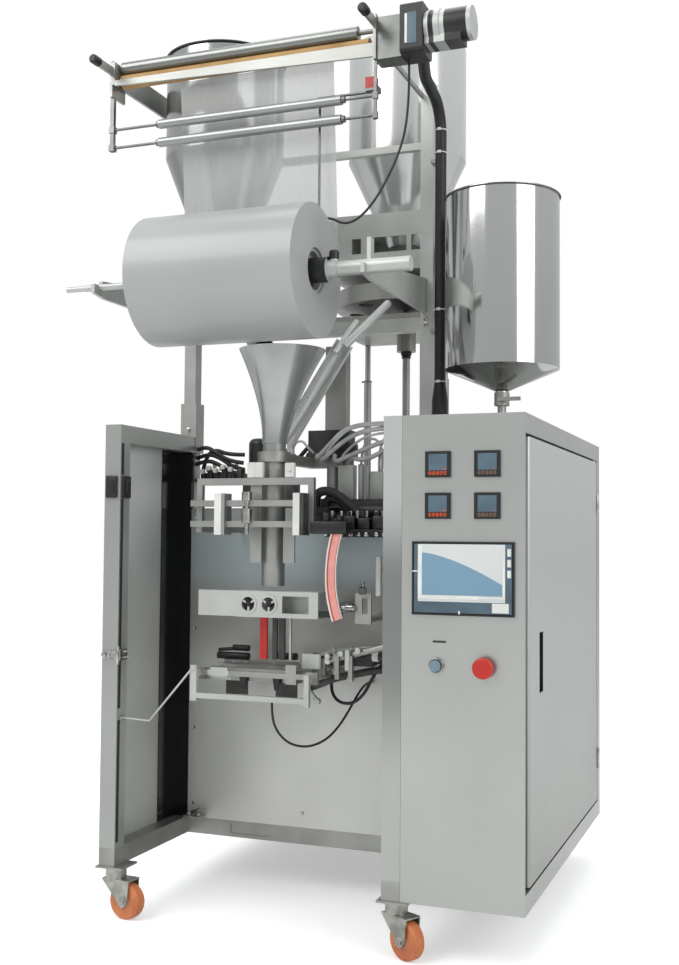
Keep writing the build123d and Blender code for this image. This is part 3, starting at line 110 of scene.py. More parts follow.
def surface(tree, look):
    """A shader whose colour follows soft blotches, and whose gloss and bump follow fine streaks."""
    coords = add(tree, "ShaderNodeTexCoord")
    blotch = add(tree, "ShaderNodeTexNoise", {"Vector": coords.outputs["Object"]},
                 Scale=look.get("blotch", 3.0), Detail=2.0, Roughness=0.5)
    tint = add(tree, "ShaderNodeMapRange", {"Value": blotch.outputs["Fac"]},
               From_Min=0.35, From_Max=0.65, To_Min=0.0, To_Max=1.0)
    mix = add(tree, "ShaderNodeMix", {"Factor": tint.outputs["Result"]},
              settings={"data_type": "RGBA"})
    mix.inputs[6].default_value = colour(look["base"])
    mix.inputs[7].default_value = colour(look["second"])
    tone = mix.outputs[2]
    # Painted light: the colour blends towards other hues by height, standing in for reflections,
    # highlights and shade
    for low_edge, high_edge, hue in look.get("painted_light_fades", ()):
        height = add(tree, "ShaderNodeSeparateXYZ", {"Vector": coords.outputs["Object"]})
        share = add(tree, "ShaderNodeMapRange", {"Value": height.outputs[2]},
                    settings={"interpolation_type": "SMOOTHSTEP"},
                    From_Min=low_edge * MM, From_Max=high_edge * MM, To_Min=0.0, To_Max=1.0)
        toned = add(tree, "ShaderNodeMix", {0: share.outputs["Result"], 6: tone},
                    settings={"data_type": "RGBA"})
        toned.inputs[7].default_value = colour(hue)
        tone = toned.outputs[2]
    mapping = add(tree, "ShaderNodeMapping", {"Vector": coords.outputs["Object"]},
                  Scale=look.get("stretch", (1, 1, 1)))
    grain = add(tree, "ShaderNodeTexNoise", {"Vector": mapping.outputs["Vector"]},
                Scale=look.get("grain", 60.0), Detail=4.0, Roughness=0.65)
    low, high = look.get("rough", (0.4, 0.5))
    gloss = add(tree, "ShaderNodeMapRange", {"Value": grain.outputs["Fac"]},
                From_Min=0.3, From_Max=0.7, To_Min=low, To_Max=high)
    shader = add(tree, "ShaderNodeBsdfPrincipled", {
        "Base Color": tone, "Roughness": gloss.outputs["Result"]},
        Metallic=look.get("metal", 0.0), Alpha=look.get("alpha", 1.0))
    if "coat" in look:
        shader.inputs["Coat Weight"].default_value = look["coat"]
        shader.inputs["Coat Roughness"].default_value = COAT_ROUGHNESS
    if look.get("bump"):
        height = add(tree, "ShaderNodeBump", {"Height": grain.outputs["Fac"]},
                     Strength=look["bump"], Distance=BUMP_DEPTH)
        tree.links.new(height.outputs["Normal"], shader.inputs["Normal"])
    return shader.outputs["BSDF"]


def compute(tree, kind, operation, sources, constant=None):
    """The output of a maths node, with a constant after its linked inputs if one is given."""
    node = add(tree, kind, dict(enumerate(sources)), settings={"operation": operation})
    if constant is not None:
        node.inputs[len(sources)].default_value = constant
    return node.outputs[0]


def finish_material(name, look, zones=()):
    """A material of one look, with other looks inside boxes given in millimetres."""
    material, tree, output = new_material(name)
    shader = surface(tree, look)
    coords = add(tree, "ShaderNodeTexCoord")
    for other, low, high in zones:
        centre = (place(*low) + place(*high)) / 2
        half = (place(*high) - place(*low)) / 2
        vector, number = "ShaderNodeVectorMath", "ShaderNodeMath"
        away = compute(tree, vector, "SUBTRACT", [coords.outputs["Object"]], centre)
        size = compute(tree, vector, "ABSOLUTE", [away])
        share = compute(tree, vector, "DIVIDE", [size], half)
        x, y, z = add(tree, "ShaderNodeSeparateXYZ", {"Vector": share}).outputs
        first = compute(tree, number, "MAXIMUM", [x, y])
        largest = compute(tree, number, "MAXIMUM", [first, z])
        inside = compute(tree, number, "LESS_THAN", [largest], 1.0)
        blend = add(tree, "ShaderNodeMixShader", {
            0: inside, 1: shader, 2: surface(tree, other)})
        shader = blend.outputs[0]
    tree.links.new(shader, output.inputs["Surface"])
    return material


# Number 4 brushed 304 sheet: soft, slightly warm grey with a fine level grain
BRUSHED = {"base": "bbbdb9", "second": "b2b4b0", "blotch": 2.2, "grain": 9.0,
           "stretch": (1, 1, 60), "rough": (0.3, 0.37), "metal": 0.85, "bump": 0.03}
# The same sheet on the front posts, polished along their length
POST = {"base": "a6a8a4", "second": "a0a29e", "blotch": 3.0, "grain": 6.0,
        "stretch": (30, 30, 1), "rough": (0.285, 0.3), "metal": 0.55}
# The side sheet inside the left post: the same steel, dull from handling, paler towards its top as
# painted light
SIDE = {"base": "b7b9b5", "second": "abada9", "blotch": 3.0, "grain": 6.0,
        "stretch": (30, 30, 1), "rough": (0.36, 0.44), "metal": 0.25,
        "painted_light_fades": ((700, 980, "d3d5d2"),)}
# The right front post: a painted dull reflection at its middle and painted light towards its top
RIGHT_POST = {"base": "b4b6b1", "second": "acaea9", "blotch": 3.0, "grain": 6.0,
              "stretch": (30, 30, 1), "rough": (0.285, 0.3), "metal": 0.55,
              "painted_light_fades": ((330, 560, "858784"), (720, 900, "c2c4c1"))}
# The side door, paler towards its top: painted light
DOOR = {"base": "a3a5a0", "second": "9c9e99", "blotch": 2.2, "grain": 9.0,
        "stretch": (1, 1, 60), "rough": (0.3, 0.37), "metal": 0.85,
        "painted_light_fades": ((150, 1000, "cfd1d0"),)}
# The back of the chamber: painted reflections, darker bands with a bluish one where the pulling
# unit is, pale below it
BACK = {"base": "cfd0cc", "second": "c5c6c2", "blotch": 4.0, "grain": 9.0,
        "stretch": (60, 1, 1), "rough": (0.32, 0.4), "metal": 0.5,
        "painted_light_fades": ((500, 620, "a9a9a5"), (660, 730, "b5c0c3"), (790, 880, "a4a6a3"))}
# Ground steel of the hangers, the gearbox and the lever: darkened as painted shade, with a soft
# sheen
DARK_STEEL = {"base": "7c7e7b", "second": "6c6e6b", "blotch": 20.0, "grain": 60.0,
              "rough": (0.25, 0.35), "metal": 0.9}
# Pickled 304 tube and plate: dull and a little blotchy
PLATE = {"base": "a9aaa6", "second": "999a96", "blotch": 11.0, "grain": 90.0,
         "rough": (0.38, 0.5), "metal": 0.85, "bump": 0.05}
# Bead blasted bracket: pale and even
PALE = {"base": "c3c5c1", "second": "b5b7b3", "blotch": 9.0, "grain": 160.0,
        "rough": (0.42, 0.52), "metal": 0.6, "bump": 0.05}
# Bright rolled sheet of the right hopper
PALE_HOPPER = {"base": "d6d8d6", "second": "c6c8c6", "blotch": 2.0, "grain": 3.0,
               "rough": (0.16, 0.22), "metal": 0.7}
# Ground pinch roller
ROLLER = {"base": "8f918e", "second": "858784", "blotch": 4.0, "grain": 6.0,
          "stretch": (1, 40, 40), "rough": (0.28, 0.34), "metal": 0.85}
# Folded chute sheet, painted pale: painted light on steel that sits in shade
CHUTE = {"base": "dcdedb", "second": "c8cac7", "blotch": 8.0, "grain": 20.0,
         "rough": (0.25, 0.35), "metal": 0.35}
# Mirror polished barrel
MIRROR = {"base": "c9cac8", "second": "bcbdbb", "blotch": 2.0, "grain": 30.0,
          "stretch": (1, 1, 20), "rough": (0.07, 0.13), "metal": 1.0}
# Satin hopper sheet
HOPPER = {"base": "b4b6b4", "second": "a8aaa8", "blotch": 2.0, "grain": 3.0,
          "rough": (0.14, 0.18), "metal": 1.0}
# Bright zinc on pressed steel: warm and slightly mottled
ZINC = {"base": "b3b3ad", "second": "92938c", "blotch": 45.0, "grain": 200.0,
        "rough": (0.26, 0.42), "metal": 0.9, "bump": 0.06}
# Polished bolts and pins
BOLT = {"base": "bfbfbc", "second": "a5a5a1", "blotch": 60.0, "grain": 300.0,
        "rough": (0.2, 0.3), "metal": 1.0}
# Cast polyurethane tread, warm orange
TREAD = {"base": "cd7d4e", "second": "b9683f", "blotch": 30.0, "grain": 150.0,
         "rough": (0.4, 0.55), "bump": 0.08}
# Drawn aluminium tube
ALUMINIUM = {"base": "a5a7a4", "second": "999b98", "blotch": 4.0, "grain": 6.0,
             "stretch": (1, 60, 60), "rough": (0.3, 0.4), "metal": 0.8}
# Tan polyurethane coating, dusty
TAN = {"base": "b8935e", "second": "a37d4c", "blotch": 25.0, "grain": 200.0,
       "rough": (0.55, 0.75), "bump": 0.1}
# Black moulded ABS with a fine texture
ABS = {"base": "1b1c1c", "second": "131414", "blotch": 40.0, "grain": 400.0,
       "rough": (0.36, 0.5), "bump": 0.06}
# Black powder coat on castings
COAT = {"base": "202121", "second": "151616", "blotch": 25.0, "grain": 500.0,
        "rough": (0.3, 0.45), "bump": 0.15}
# Dark oiled casting on the motors of the deck
CASTING = {"base": "4a4b48", "second": "363734", "blotch": 22.0, "grain": 300.0,
           "rough": (0.4, 0.55), "metal": 0.4, "bump": 0.15}
# Black rubber of hoses and cables
RUBBER = {"base": "161717", "second": "1f2020", "blotch": 60.0, "grain": 250.0,
          "rough": (0.45, 0.6), "bump": 0.05}
# Tinted acrylic, almost black: the glass of the screen, and the dark panes of the frame, whose
# black is a painted reflection
ACRYLIC = {"base": "0d0e0e", "second": "151616", "blotch": 2.0, "grain": 5.0,
           "rough": (0.1, 0.18)}
# Red ABS with a soft shine
RED = {"base": "bf2418", "second": "ad1d12", "blotch": 18.0, "grain": 120.0,
       "rough": (0.34, 0.44), "coat": 0.1}
# Milky film wound on a roll: level sheen along the roll
WOUND = {"base": "a4a6a5", "second": "9c9e9d", "blotch": 3.0, "grain": 6.0,
         "stretch": (0.6, 10, 10), "rough": (0.3, 0.36), "coat": 0.15}
# One layer of the same film, see-through
FILM = {"base": "c8cac9", "second": "bbbdbc", "blotch": 3.0, "grain": 6.0,
        "stretch": (8, 1, 1), "rough": (0.22, 0.34), "alpha": 0.5, "coat": 0.3}
# Heavier clear sheet of the forming collar
COLLAR = {"base": "b7bab8", "second": "a3a6a4", "blotch": 9.0, "grain": 8.0,
          "rough": (0.12, 0.2), "alpha": 0.88, "metal": 0.6, "coat": 0.5}
# Hose, painted pale against the steel: a painted highlight that keeps it bright in the shade
CLEAR_HOSE = {"base": "cfd1ce", "second": "b4b6b3", "blotch": 25.0, "grain": 30.0,
              "rough": (0.15, 0.25), "coat": 0.5}
# White machined acetal
ACETAL = {"base": "dedfda", "second": "d0d1cc", "blotch": 20.0, "grain": 180.0,
          "rough": (0.42, 0.52), "bump": 0.03}
# Blue grey illuminated push button
BUTTON = {"base": "708795", "second": "657a87", "blotch": 30.0, "grain": 90.0,
          "rough": (0.2, 0.3), "coat": 0.4}
# Screen areas and the faces of the controllers
SCREEN_BLUE = {"base": "7596ab", "second": "6f90a6", "blotch": 5.0, "grain": 4.0,
               "rough": (0.2, 0.26)}
SCREEN_PALE = {"base": "cdd1cf", "second": "c2c6c4", "blotch": 5.0, "grain": 4.0,
               "rough": (0.2, 0.26)}
SCREEN_DARK = {"base": "566a78", "second": "44555f", "blotch": 12.0, "grain": 6.0,
               "rough": (0.14, 0.2)}
DIGIT = {"base": "e0562a", "second": "cf4a22", "blotch": 80.0, "grain": 60.0,
         "rough": (0.3, 0.4)}
DIM_DIGIT = {"base": "8a6a5c", "second": "7a5c50", "blotch": 80.0, "grain": 60.0,
             "rough": (0.3, 0.4)}
# Pink woven belt, matt
BELT = {"base": "e3a196", "second": "da9186", "blotch": 35.0, "grain": 220.0,
        "rough": (0.5, 0.65), "bump": 0.12}
# The red threads along the belt
BELT_RED = {"base": "c8483c", "second": "b83e33", "blotch": 35.0, "grain": 220.0,
            "rough": (0.5, 0.65), "bump": 0.1}
# Ground stainless of the top bar
NARROW = {"base": "a3a49f", "second": "999a95", "blotch": 6.0, "grain": 20.0,
          "stretch": (1, 40, 40), "rough": (0.34, 0.42), "metal": 0.7}

materials = {}
for key, look in (
        ("brushed_stainless", BRUSHED), ("polished_post", POST), ("pickled_plate", PLATE),
        ("blasted_plate", PALE), ("mirror_stainless", MIRROR), ("satin_hopper", HOPPER),
        ("bright_zinc", ZINC), ("polished_bolt", BOLT), ("orange_polyurethane", TREAD),
        ("drawn_aluminium", ALUMINIUM), ("tan_coating", TAN), ("black_abs", ABS),
        ("black_powder_coat", COAT), ("dark_casting", CASTING), ("black_rubber", RUBBER),
        ("black_pane_and_reflection", ACRYLIC), ("red_abs", RED), ("wound_film", WOUND),
        ("single_film", FILM), ("collar_sheet", COLLAR), ("white_acetal", ACETAL),
        ("blue_grey_button", BUTTON), ("screen_blue", SCREEN_BLUE),
        ("screen_pale", SCREEN_PALE), ("screen_dark", SCREEN_DARK), ("lit_digit", DIGIT),
        ("dim_digit", DIM_DIGIT), ("woven_belt", BELT), ("side_sheet", SIDE),
        ("back_sheet", BACK), ("shaded_steel", DARK_STEEL), ("pale_lit_hose", CLEAR_HOSE),
        ("pale_hopper", PALE_HOPPER), ("ground_roller", ROLLER), ("chute_sheet", CHUTE),
        ("belt_red", BELT_RED), ("narrow_bar", NARROW)):
    materials[key] = finish_material(key, look)

slot_finish = {
    "stainless": "pickled_plate", "zinc_steel": "bright_zinc",
    "orange_tyre": "orange_polyurethane", "polished_steel": "mirror_stainless",
    # The dark panes of the frame: black as a painted reflection
    "dark_pane": "black_pane_and_reflection", "black_plastic": "black_abs",
    "black_metal": "black_powder_coat", "white_plastic": "blue_grey_button",
    "red_plastic": "red_abs", "packing_film": "wound_film",
    "aluminium_roller": "drawn_aluminium", "tan_rubber": "tan_coating",
}
node_finish = {
    "control_panel": "brushed_stainless", "cabinet_shell": "brushed_stainless",
    "left_top_rail": "polished_post", "left_side_panel": "side_sheet",
    "back_panel": "back_sheet", "right_wall": "brushed_stainless",
    "left_hopper": "satin_hopper", "right_hopper": "pale_hopper",
    "forming_funnel": "collar_sheet", "film_web": "single_film", "top_bar": "narrow_bar",
    "filler_chutes": "chute_sheet", "pinch_roller": "ground_roller",
    "roll_arms": "blasted_plate", "cable_conduit": "black_rubber",
    "filler_top": "blasted_plate",
    "cross_beams": "blasted_plate", "jaw_frame": "blasted_plate",
}
# Nodes with pieces of a second look: where those pieces lie, in millimetres
zoned = {
    "front_posts": (POST, ((RIGHT_POST, (600, -5, 100), (672, 60, 1050)),)),
    # The grip recess of the side door is black: painted shade in the recess
    "side_door": (DOOR, ((ABS, (896.7, 133.7, 503.7), (908.7, 170.3, 622.3)),)),
    "roll_shaft": (PALE, (
        (COAT, (488, -77, 1302), (532, -23, 1356)), (COAT, (130, -77, 1302), (156, -23, 1356)),
        (COAT, (528, -64, 1347.2), (556, -36, 1370)))),
    "guide_frame": (PLATE, (
        (ACETAL, (222.5, 74, 805), (239, 104.6, 899)),
        (ACETAL, (404.5, 74, 805), (420, 104.6, 899)),
        (CASTING, (420, 74, 805), (429.5, 104.6, 899)),
        (BOLT, (285, 70, 808), (309, 94.2, 901)))),
    # The hangers: steel darkened as painted shade
    "roller_hangers": (DARK_STEEL, (
        (RED, (574, 30, 1713), (598, 50, 1737)), (ABS, (463, 30, 1445), (483, 50, 1471)))),
    "pull_unit": (PALE, (
        (RED, (308, 120, 540), (326, 137, 635.9)), (CASTING, (336, 120, 540), (368, 137, 635.9)),
        (ABS, (292, 80, 658), (304, 133, 669)), (ABS, (339, 80, 658), (351, 133, 669)))),
    "front_jaw": (PLATE, (
        (ABS, (277, 88, 480), (297, 103, 509.5)), (ABS, (354, 88, 480), (374, 103, 509.5)),
        (PALE, (205, 88, 499), (254, 103, 528)))),
    "rear_housing": (BRUSHED, (
        (CASTING, (150, 335, 870.5), (240, 415, 955)),
        (COAT, (160, 335, 955), (230, 415, 1040)))),
    "forming_mount": (PLATE, (
        (CASTING, (325, 340, 988.5), (427, 395, 1052.5)),)),
    "feed_motor": (COAT, (
        # The gearbox: steel darkened as painted shade
        (DARK_STEEL, (600, -20, 1740), (655.4, 110, 1890)),
        # Pale bands down the black motor: painted highlights
        (PALE, (703, -20, 1778), (712, 90, 1880)), (PALE, (722, -20, 1778), (744, 90, 1880)),
        (PALE, (789, -20, 1778), (830, 90, 1880)),
        (CASTING, (370, 250, 825), (424, 323, 895)))),
    "jaw_frame": (PALE, ((PLATE, (430, 130, 500), (640, 330, 620)),)),
    "upper_columns": (PLATE, ((PALE, (590, 330, 1000), (640, 380, 1850)),)),
}

slots = {entry["node"]: entry["material_slot"] for entry in frame["record"]["subparts"]}
for name, piece in frame["nodes"].items():
    if name in zoned:
        look, areas = zoned[name]
        finish = finish_material(name + "_finish", look, areas)
    else:
        finish = materials[node_finish.get(name, slot_finish[slots[name]])]
    piece.data.materials.clear()
    piece.data.materials.append(finish)


# Building pieces from meshes, in millimetres from the front left corner

def turned(start, end):
    """The matrix that lays the Z axis along a line, with its origin at the middle."""
    line = Vector(end) - Vector(start)
    turn = line.to_track_quat("Z", "Y").to_matrix().to_4x4()
    return Matrix.Translation((Vector(start) + Vector(end)) / 2) @ turn, line.length


def add_block(mesh, low, high, ease=0.0, segments=1):
    """A block between two corners, with eased edges."""
    middle = [(a + b) / 2 for a, b in zip(low, high)]
    size = [b - a for a, b in zip(low, high)]
    shape = Matrix.Translation(middle) @ Matrix.Diagonal((*size, 1))
    made = bmesh.ops.create_cube(mesh, size=1, matrix=shape)
    if ease:
        edges = {edge for vert in made["verts"] for edge in vert.link_edges}
        bmesh.ops.bevel(mesh, geom=list(edges), offset=ease, segments=segments, profile=0.5,
                        affect="EDGES", material=-1)


def add_rod(mesh, start, end, radius, end_radius=None, ease=0.0, sides=24):
    """A round or many sided rod between two points, with eased ends."""
    matrix, length = turned(start, end)
    made = bmesh.ops.create_cone(mesh, cap_ends=True, segments=sides, radius1=radius,
                                 radius2=radius if end_radius is None else end_radius,
                                 depth=length, matrix=matrix)
    if ease:
        edges = {edge for vert in made["verts"] for edge in vert.link_edges
                 if any(len(face.verts) > 4 for face in edge.link_faces)}
        bmesh.ops.bevel(mesh, geom=list(edges), offset=ease, segments=2, profile=0.5,
                        affect="EDGES", material=-1)


def add_bolt(mesh, head, direction, across=10.0, height=4.0):
    """A hex head with its washer, seated at a point and standing out along a direction."""
    seat = Vector(head)
    out = Vector(direction).normalized()
    add_rod(mesh, seat - out * 0.3, seat + out * 1.2, across * 0.72, ease=0.3, sides=20)
    add_rod(mesh, seat + out * 1.2, seat + out * (1.2 + height), across * 0.56, ease=0.5, sides=6)


def add_screw(mesh, head, direction, radius=4.0):
    """A round screw head with a socket."""
    seat = Vector(head)
    out = Vector(direction).normalized()
    matrix, length = turned(seat - out * 0.3, seat + out * 2.2)
    made = bmesh.ops.create_cone(mesh, cap_ends=True, segments=20, radius1=radius,
                                 radius2=radius * 0.82, depth=length, matrix=matrix)
    tops = {face for vert in made["verts"] for face in vert.link_faces
            if len(face.verts) > 4 and (face.calc_center_median() - seat).dot(out) > 1}
    bmesh.ops.inset_individual(mesh, faces=list(tops), thickness=radius * 0.38)
    bmesh.ops.translate(mesh, verts=list({v for face in tops for v in face.verts}),
                        vec=out * -1.2)


def add_ring(mesh, centre, direction, radius, thick, steps=40, sides=10):
    """A round ring, made by spinning a circle about an axis."""
    out = Vector(direction).normalized()
    turn = out.to_track_quat("Z", "Y").to_matrix().to_4x4()
    base = Matrix.Translation(centre) @ turn
    profile = base @ Matrix.Translation((radius, 0, 0)) @ Matrix.Rotation(math.pi / 2, 4, "X")
    made = bmesh.ops.create_circle(mesh, segments=sides, radius=thick, matrix=profile)
    edges = {edge for vert in made["verts"] for edge in vert.link_edges}
    bmesh.ops.spin(mesh, geom=list(made["verts"]) + list(edges), cent=centre, axis=out,
                   angle=math.tau, steps=steps, use_merge=True)
    bmesh.ops.remove_doubles(mesh, verts=mesh.verts, dist=0.001)


def finish_piece(name, mesh, finish, body="frame"):
    """Turns a mesh given in millimetres into a named object that rides on a body."""
    bmesh.ops.recalc_face_normals(mesh, faces=mesh.faces)
    bmesh.ops.scale(mesh, vec=(MM, MM, MM), verts=mesh.verts)
    bmesh.ops.translate(mesh, vec=place(0, 0, 0), verts=mesh.verts)
    for face in mesh.faces:
        face.smooth = True
    data = bpy.data.meshes.new(name)
    mesh.to_mesh(data)
    mesh.free()
    data.set_sharp_from_angle(angle=math.radians(SHARP_ANGLE))
    data.materials.append(materials[finish])
    piece = bpy.data.objects.new(name, data)
    bpy.context.collection.objects.link(piece)
    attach(piece, body)
    return piece


def block_piece(name, low, high, ease, finish):
    """A piece on the frame that is a single eased block."""
    mesh = bmesh.new()
    add_block(mesh, low, high, ease=ease)
    finish_piece(name, mesh, finish)


def add_curve(name, routes, radius, finish, body="frame"):
    """Round tubes along smooth routes, all in one object."""
    data = bpy.data.curves.new(name, "CURVE")
    data.dimensions = "3D"
    data.bevel_depth = radius * MM
    data.bevel_resolution = 4
    data.resolution_u = 10
    data.use_fill_caps = True
    for route in routes:
        spline = data.splines.new("NURBS")
        spline.points.add(len(route) - 1)
        for point, corner in zip(spline.points, route):
            point.co = (*place(*corner), 1)
        spline.order_u = 3
        spline.use_endpoint_u = True
    data.materials.append(materials[finish])
    piece = bpy.data.objects.new(name, data)
    bpy.context.collection.objects.link(piece)
    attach(piece, body)
    return piece


# Free cables, each on the same points as its solid

def free_cable(name, node, points, diameter):
    """One cable that hangs between two fixed ends."""
    cable = add_curve(name, [points], diameter / 2, "black_rubber")
    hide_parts(node)


free_cable("sensor_lead", "sensor_cable", [
    (482, 41, 1458), (500, 41, 1458), (524, 44, 1443), (554, 48, 1450), (586, 53, 1483),
    (612, 58, 1528), (634, 61, 1574), (650, 60, 1620), (658, 56, 1670), (662, 50, 1718),
    (663, 46, 1742), (663, 46, 1766)], 5)
free_cable("jaw_lead", "jaw_cable", [
    (366, 68, 464), (366, 68, 436), (372, 78, 404), (392, 96, 376), (424, 122, 366),
    (456, 150, 380), (476, 180, 410), (487, 214, 444), (492, 248, 470), (494, 284, 484),
    (494, 312, 484)], 5)
free_cable("back_lead", "back_cable", [
    (418, 312, 500), (418, 286, 500), (424, 254, 482), (440, 228, 460), (466, 210, 449),
    (496, 203, 452), (520, 202, 472), (536, 203, 503), (554, 206, 534), (580, 212, 556),
    (599.5, 214, 560), (619.5, 214, 560)], 7)

# Casters: axle nuts and wheel hub rings

CASTERS = {"front_left": (27, 27, -6), "front_right": (652.5, 27, -29),
           "rear_left": (27, 873, -14), "rear_right": (652.5, 873, -35)}
for corner_name, (x, y, degrees) in CASTERS.items():
    angle = math.radians(degrees)
    along = Vector((math.cos(angle), math.sin(angle), 0))
    across = Vector((-math.sin(angle), math.cos(angle), 0))
    wheel = Vector((x, y, 37.5)) + along * 30
    nuts = bmesh.new()
    for side in (-1, 1):
        add_bolt(nuts, wheel + across * side * 19.6, across * side, across=14, height=4.6)
    finish_piece("axle_nuts_" + corner_name, nuts, "polished_bolt",
                 "fork_" + corner_name)
    hub = bmesh.new()
    for side in (-1, 1):
        add_ring(hub, wheel + across * side * 12.6, across, 12, 1.6)
    finish_piece("wheel_hub_" + corner_name, hub, "bright_zinc",
                 "wheel_" + corner_name)

# Touch screen: glass, lit page and the keys at its right edge

block_piece("screen_glass", (693, -7.0, 661.5), (887.5, -6.0, 796.5), 0.4,
            "black_pane_and_reflection")
block_piece("screen_strip", (695.5, -7.2, 664), (885.5, -7.0, 794.5), 0.08,
            "screen_dark")
block_piece("screen_page", (703, -7.5, 685), (873, -7.0, 794), 0.15,
            "screen_pale")
sweep = bmesh.new()
edge_points = [Vector((711 + 157 * step / 24, -7.9, 778 - 60 * (step / 24) ** 1.5))
               for step in range(25)]
verts = [sweep.verts.new(point)
         for point in [Vector((711, -7.9, 697.4))] + edge_points + [Vector((868, -7.9, 697.4))]]
face = sweep.faces.new(verts)
made = bmesh.ops.extrude_face_region(sweep, geom=[face])
bmesh.ops.translate(sweep, vec=(0, 0.5, 0),
                    verts=[item for item in made["geom"] if isinstance(item, bmesh.types.BMVert)])
finish_piece("screen_sweep", sweep, "screen_blue")
lines = bmesh.new()
for low, high in (((703, -8.2, 690), (822, -7.5, 697)), ((703, -8.2, 697.4), (711, -7.5, 793)),
                  ((822, -8.0, 692), (873, -7.5, 695)), ((868, -8.2, 696), (873, -7.5, 776)),
                  ((877, -7.6, 772), (884, -7.0, 786)), ((877, -7.6, 752), (884, -7.0, 766)),
                  ((877, -7.6, 732), (884, -7.0, 746)), ((848, -7.8, 666), (880, -7.0, 684)),
                  ((692, -7.6, 741), (702, -7.0, 743.5)), ((783, -7.6, 662), (786, -7.0, 668))):
    add_block(lines, low, high, ease=0.12)
finish_piece("screen_lines", lines, "white_acetal")

# Temperature controllers: grey faces with a row of segment digits and two keys


def add_digit(mesh, left, low, wide, tall, depth):
    """One eight made of seven bars."""
    bar = wide * 0.24
    for level in (0.0, 0.5, 1.0):
        z = low + (tall - bar) * level
        add_block(mesh, (left + bar, depth - 0.4, z), (left + wide - bar, depth, z + bar))
    for x in (left, left + wide - bar):
        add_block(mesh, (x, depth - 0.4, low + bar), (x + bar, depth, low + tall / 2 - bar / 4))
        add_block(mesh, (x, depth - 0.4, low + tall / 2 + bar / 2),
                  (x + bar, depth, low + tall - bar))


for column_index in range(2):
    digits = bmesh.new()
    for row_index in range(2):
        left = 715.5 + column_index * 96.8
        low = 922.0 - row_index * 79.6
        tag = str(column_index + 1) + str(row_index + 1)
        block_piece("controller_edge_" + tag, (left + 1, -6.4, low + 1),
                    (left + 49, -5.0, low + 49), 0.8, "black_abs")
        block_piece("controller_face_" + tag, (left + 7.5, -7.0, low + 13),
                    (left + 44, -6.4, low + 44.5), 0.25, "screen_dark")
        for index in range(5):
            add_digit(digits, left + 7.5 + index * 7.4, low + 4.2, 6.0, 7.4, -6.4)
        add_block(digits, (left + 36, -7.3, low + 15), (left + 42, -7.0, low + 17))
    finish_piece("controller_digits_" + str(column_index + 1), digits,
                 "dim_digit" if column_index else "lit_digit")

# Push button rings and a bare plate above them

rings = bmesh.new()
add_ring(rings, (738.5, -4.2, 563), (0, 1, 0), 13.0, 1.7)
finish_piece("start_button_ring", rings, "polished_bolt")
rings = bmesh.new()
add_ring(rings, (832.5, -0.9, 563), (0, 1, 0), 15.2, 1.2)
finish_piece("stop_button_collar", rings, "black_abs")
block_piece("bare_plate", (731, -0.9, 606.5), (757, 0.1, 610.5), 0.3,
            "dark_casting")

# Left front post: latch housings, hinge fitting, a black strip as painted shadow in the gap, and
# the bent stay rod

latch = bmesh.new()
for low, high in (((5, -6, 886), (31, 0, 933)), ((38, 5, 886), (44, 35, 933))):
    add_block(latch, low, high, ease=1.5, segments=2)
add_block(latch, (11, -9, 896), (25, -5, 923), ease=1.2)
add_block(latch, (43, 12, 896), (47, 28, 923), ease=1.2)
finish_piece("latch_housings", latch, "black_abs")
# A black rubber strip on the post: painted shadow in the gap between post and panel
seal = bmesh.new()
for low, high in ((440, 884), (160, 415), (936, 1003)):
    add_block(seal, (38, 4, low), (39.4, 12, high), ease=0.4)
finish_piece("post_gap_shadow", seal, "black_rubber")
fitting = bmesh.new()
add_block(fitting, (3, -4, 545), (38, 0, 561), ease=1)
add_block(fitting, (38, 2, 541), (42, 34, 565), ease=1)
add_rod(fitting, (40, -4, 533), (40, -4, 572), 4.2, ease=1)
add_rod(fitting, (8, -9, 553), (8, -3, 553), 5.5, ease=1)
for y, z in ((20, 547), (20, 559), (30, 547), (30, 559)):
    add_screw(fitting, (42, y, z), (1, 0, 0), radius=3)
add_screw(fitting, (20, -4, 553), (0, -1, 0), radius=3.5)
add_screw(fitting, (29, -4, 553), (0, -1, 0), radius=3.5)
add_block(fitting, (38, 12, 414), (42, 26, 424), ease=1)
finish_piece("hinge_fitting", fitting, "polished_bolt")
stay = bmesh.new()
add_rod(stay, (40, 19, 419), (97, 34, 414), 2.2, ease=0.4, sides=14)
add_rod(stay, (97, 34, 414), (183, 64, 527), 2.2, ease=0.4, sides=14)
add_block(stay, (180, 60, 521), (190, 74, 531), ease=1)
finish_piece("stay_rod", stay, "blasted_plate")

# Chamber: corner clamp, panel screws, post, bracket fittings and the belt

clamp = bmesh.new()
add_block(clamp, (42, 290, 152), (88, 318, 157), ease=1)
add_bolt(clamp, (52, 302, 157), (0, 0, 1), across=12)
add_bolt(clamp, (76, 302, 157), (0, 0, 1), across=12)
add_rod(clamp, (58, 304, 162), (84, 296, 172), 4, ease=1)
finish_piece("corner_clamp", clamp, "bright_zinc")
screws = bmesh.new()
for x in (51, 330, 612):
    for z in (180, 356, 588, 848):
        if x == 51 or z in (180, 848):
            add_screw(screws, (x, 322, z), (0, -1, 0), radius=4.5)
finish_piece("back_panel_screws", screws, "polished_bolt")
post = bmesh.new()
add_block(post, (547, 194, 681), (558, 204, 766), ease=1.5)
add_rod(post, (552.5, 203, 735), (552.5, 322, 735), 4, ease=0.5)
finish_piece("white_post", post, "white_acetal")
small = bmesh.new()
add_block(small, (512, 186, 684), (524, 206, 700), ease=2)
add_rod(small, (518, 196, 700), (518, 196, 712), 4, ease=1)
add_rod(small, (480, 196, 655), (502, 196, 655), 9, ease=1.5)
add_rod(small, (470, 196, 655), (482, 196, 655), 5, ease=1)
finish_piece("bracket_fittings", small, "polished_bolt")


def band_path(share):
    """Middle line of the belt, bowed to the left between its two ends."""
    z = 824 - 188 * share
    level = (z - 725) / 90
    return 485 + (13 if level > 0 else 16) * level * level, z


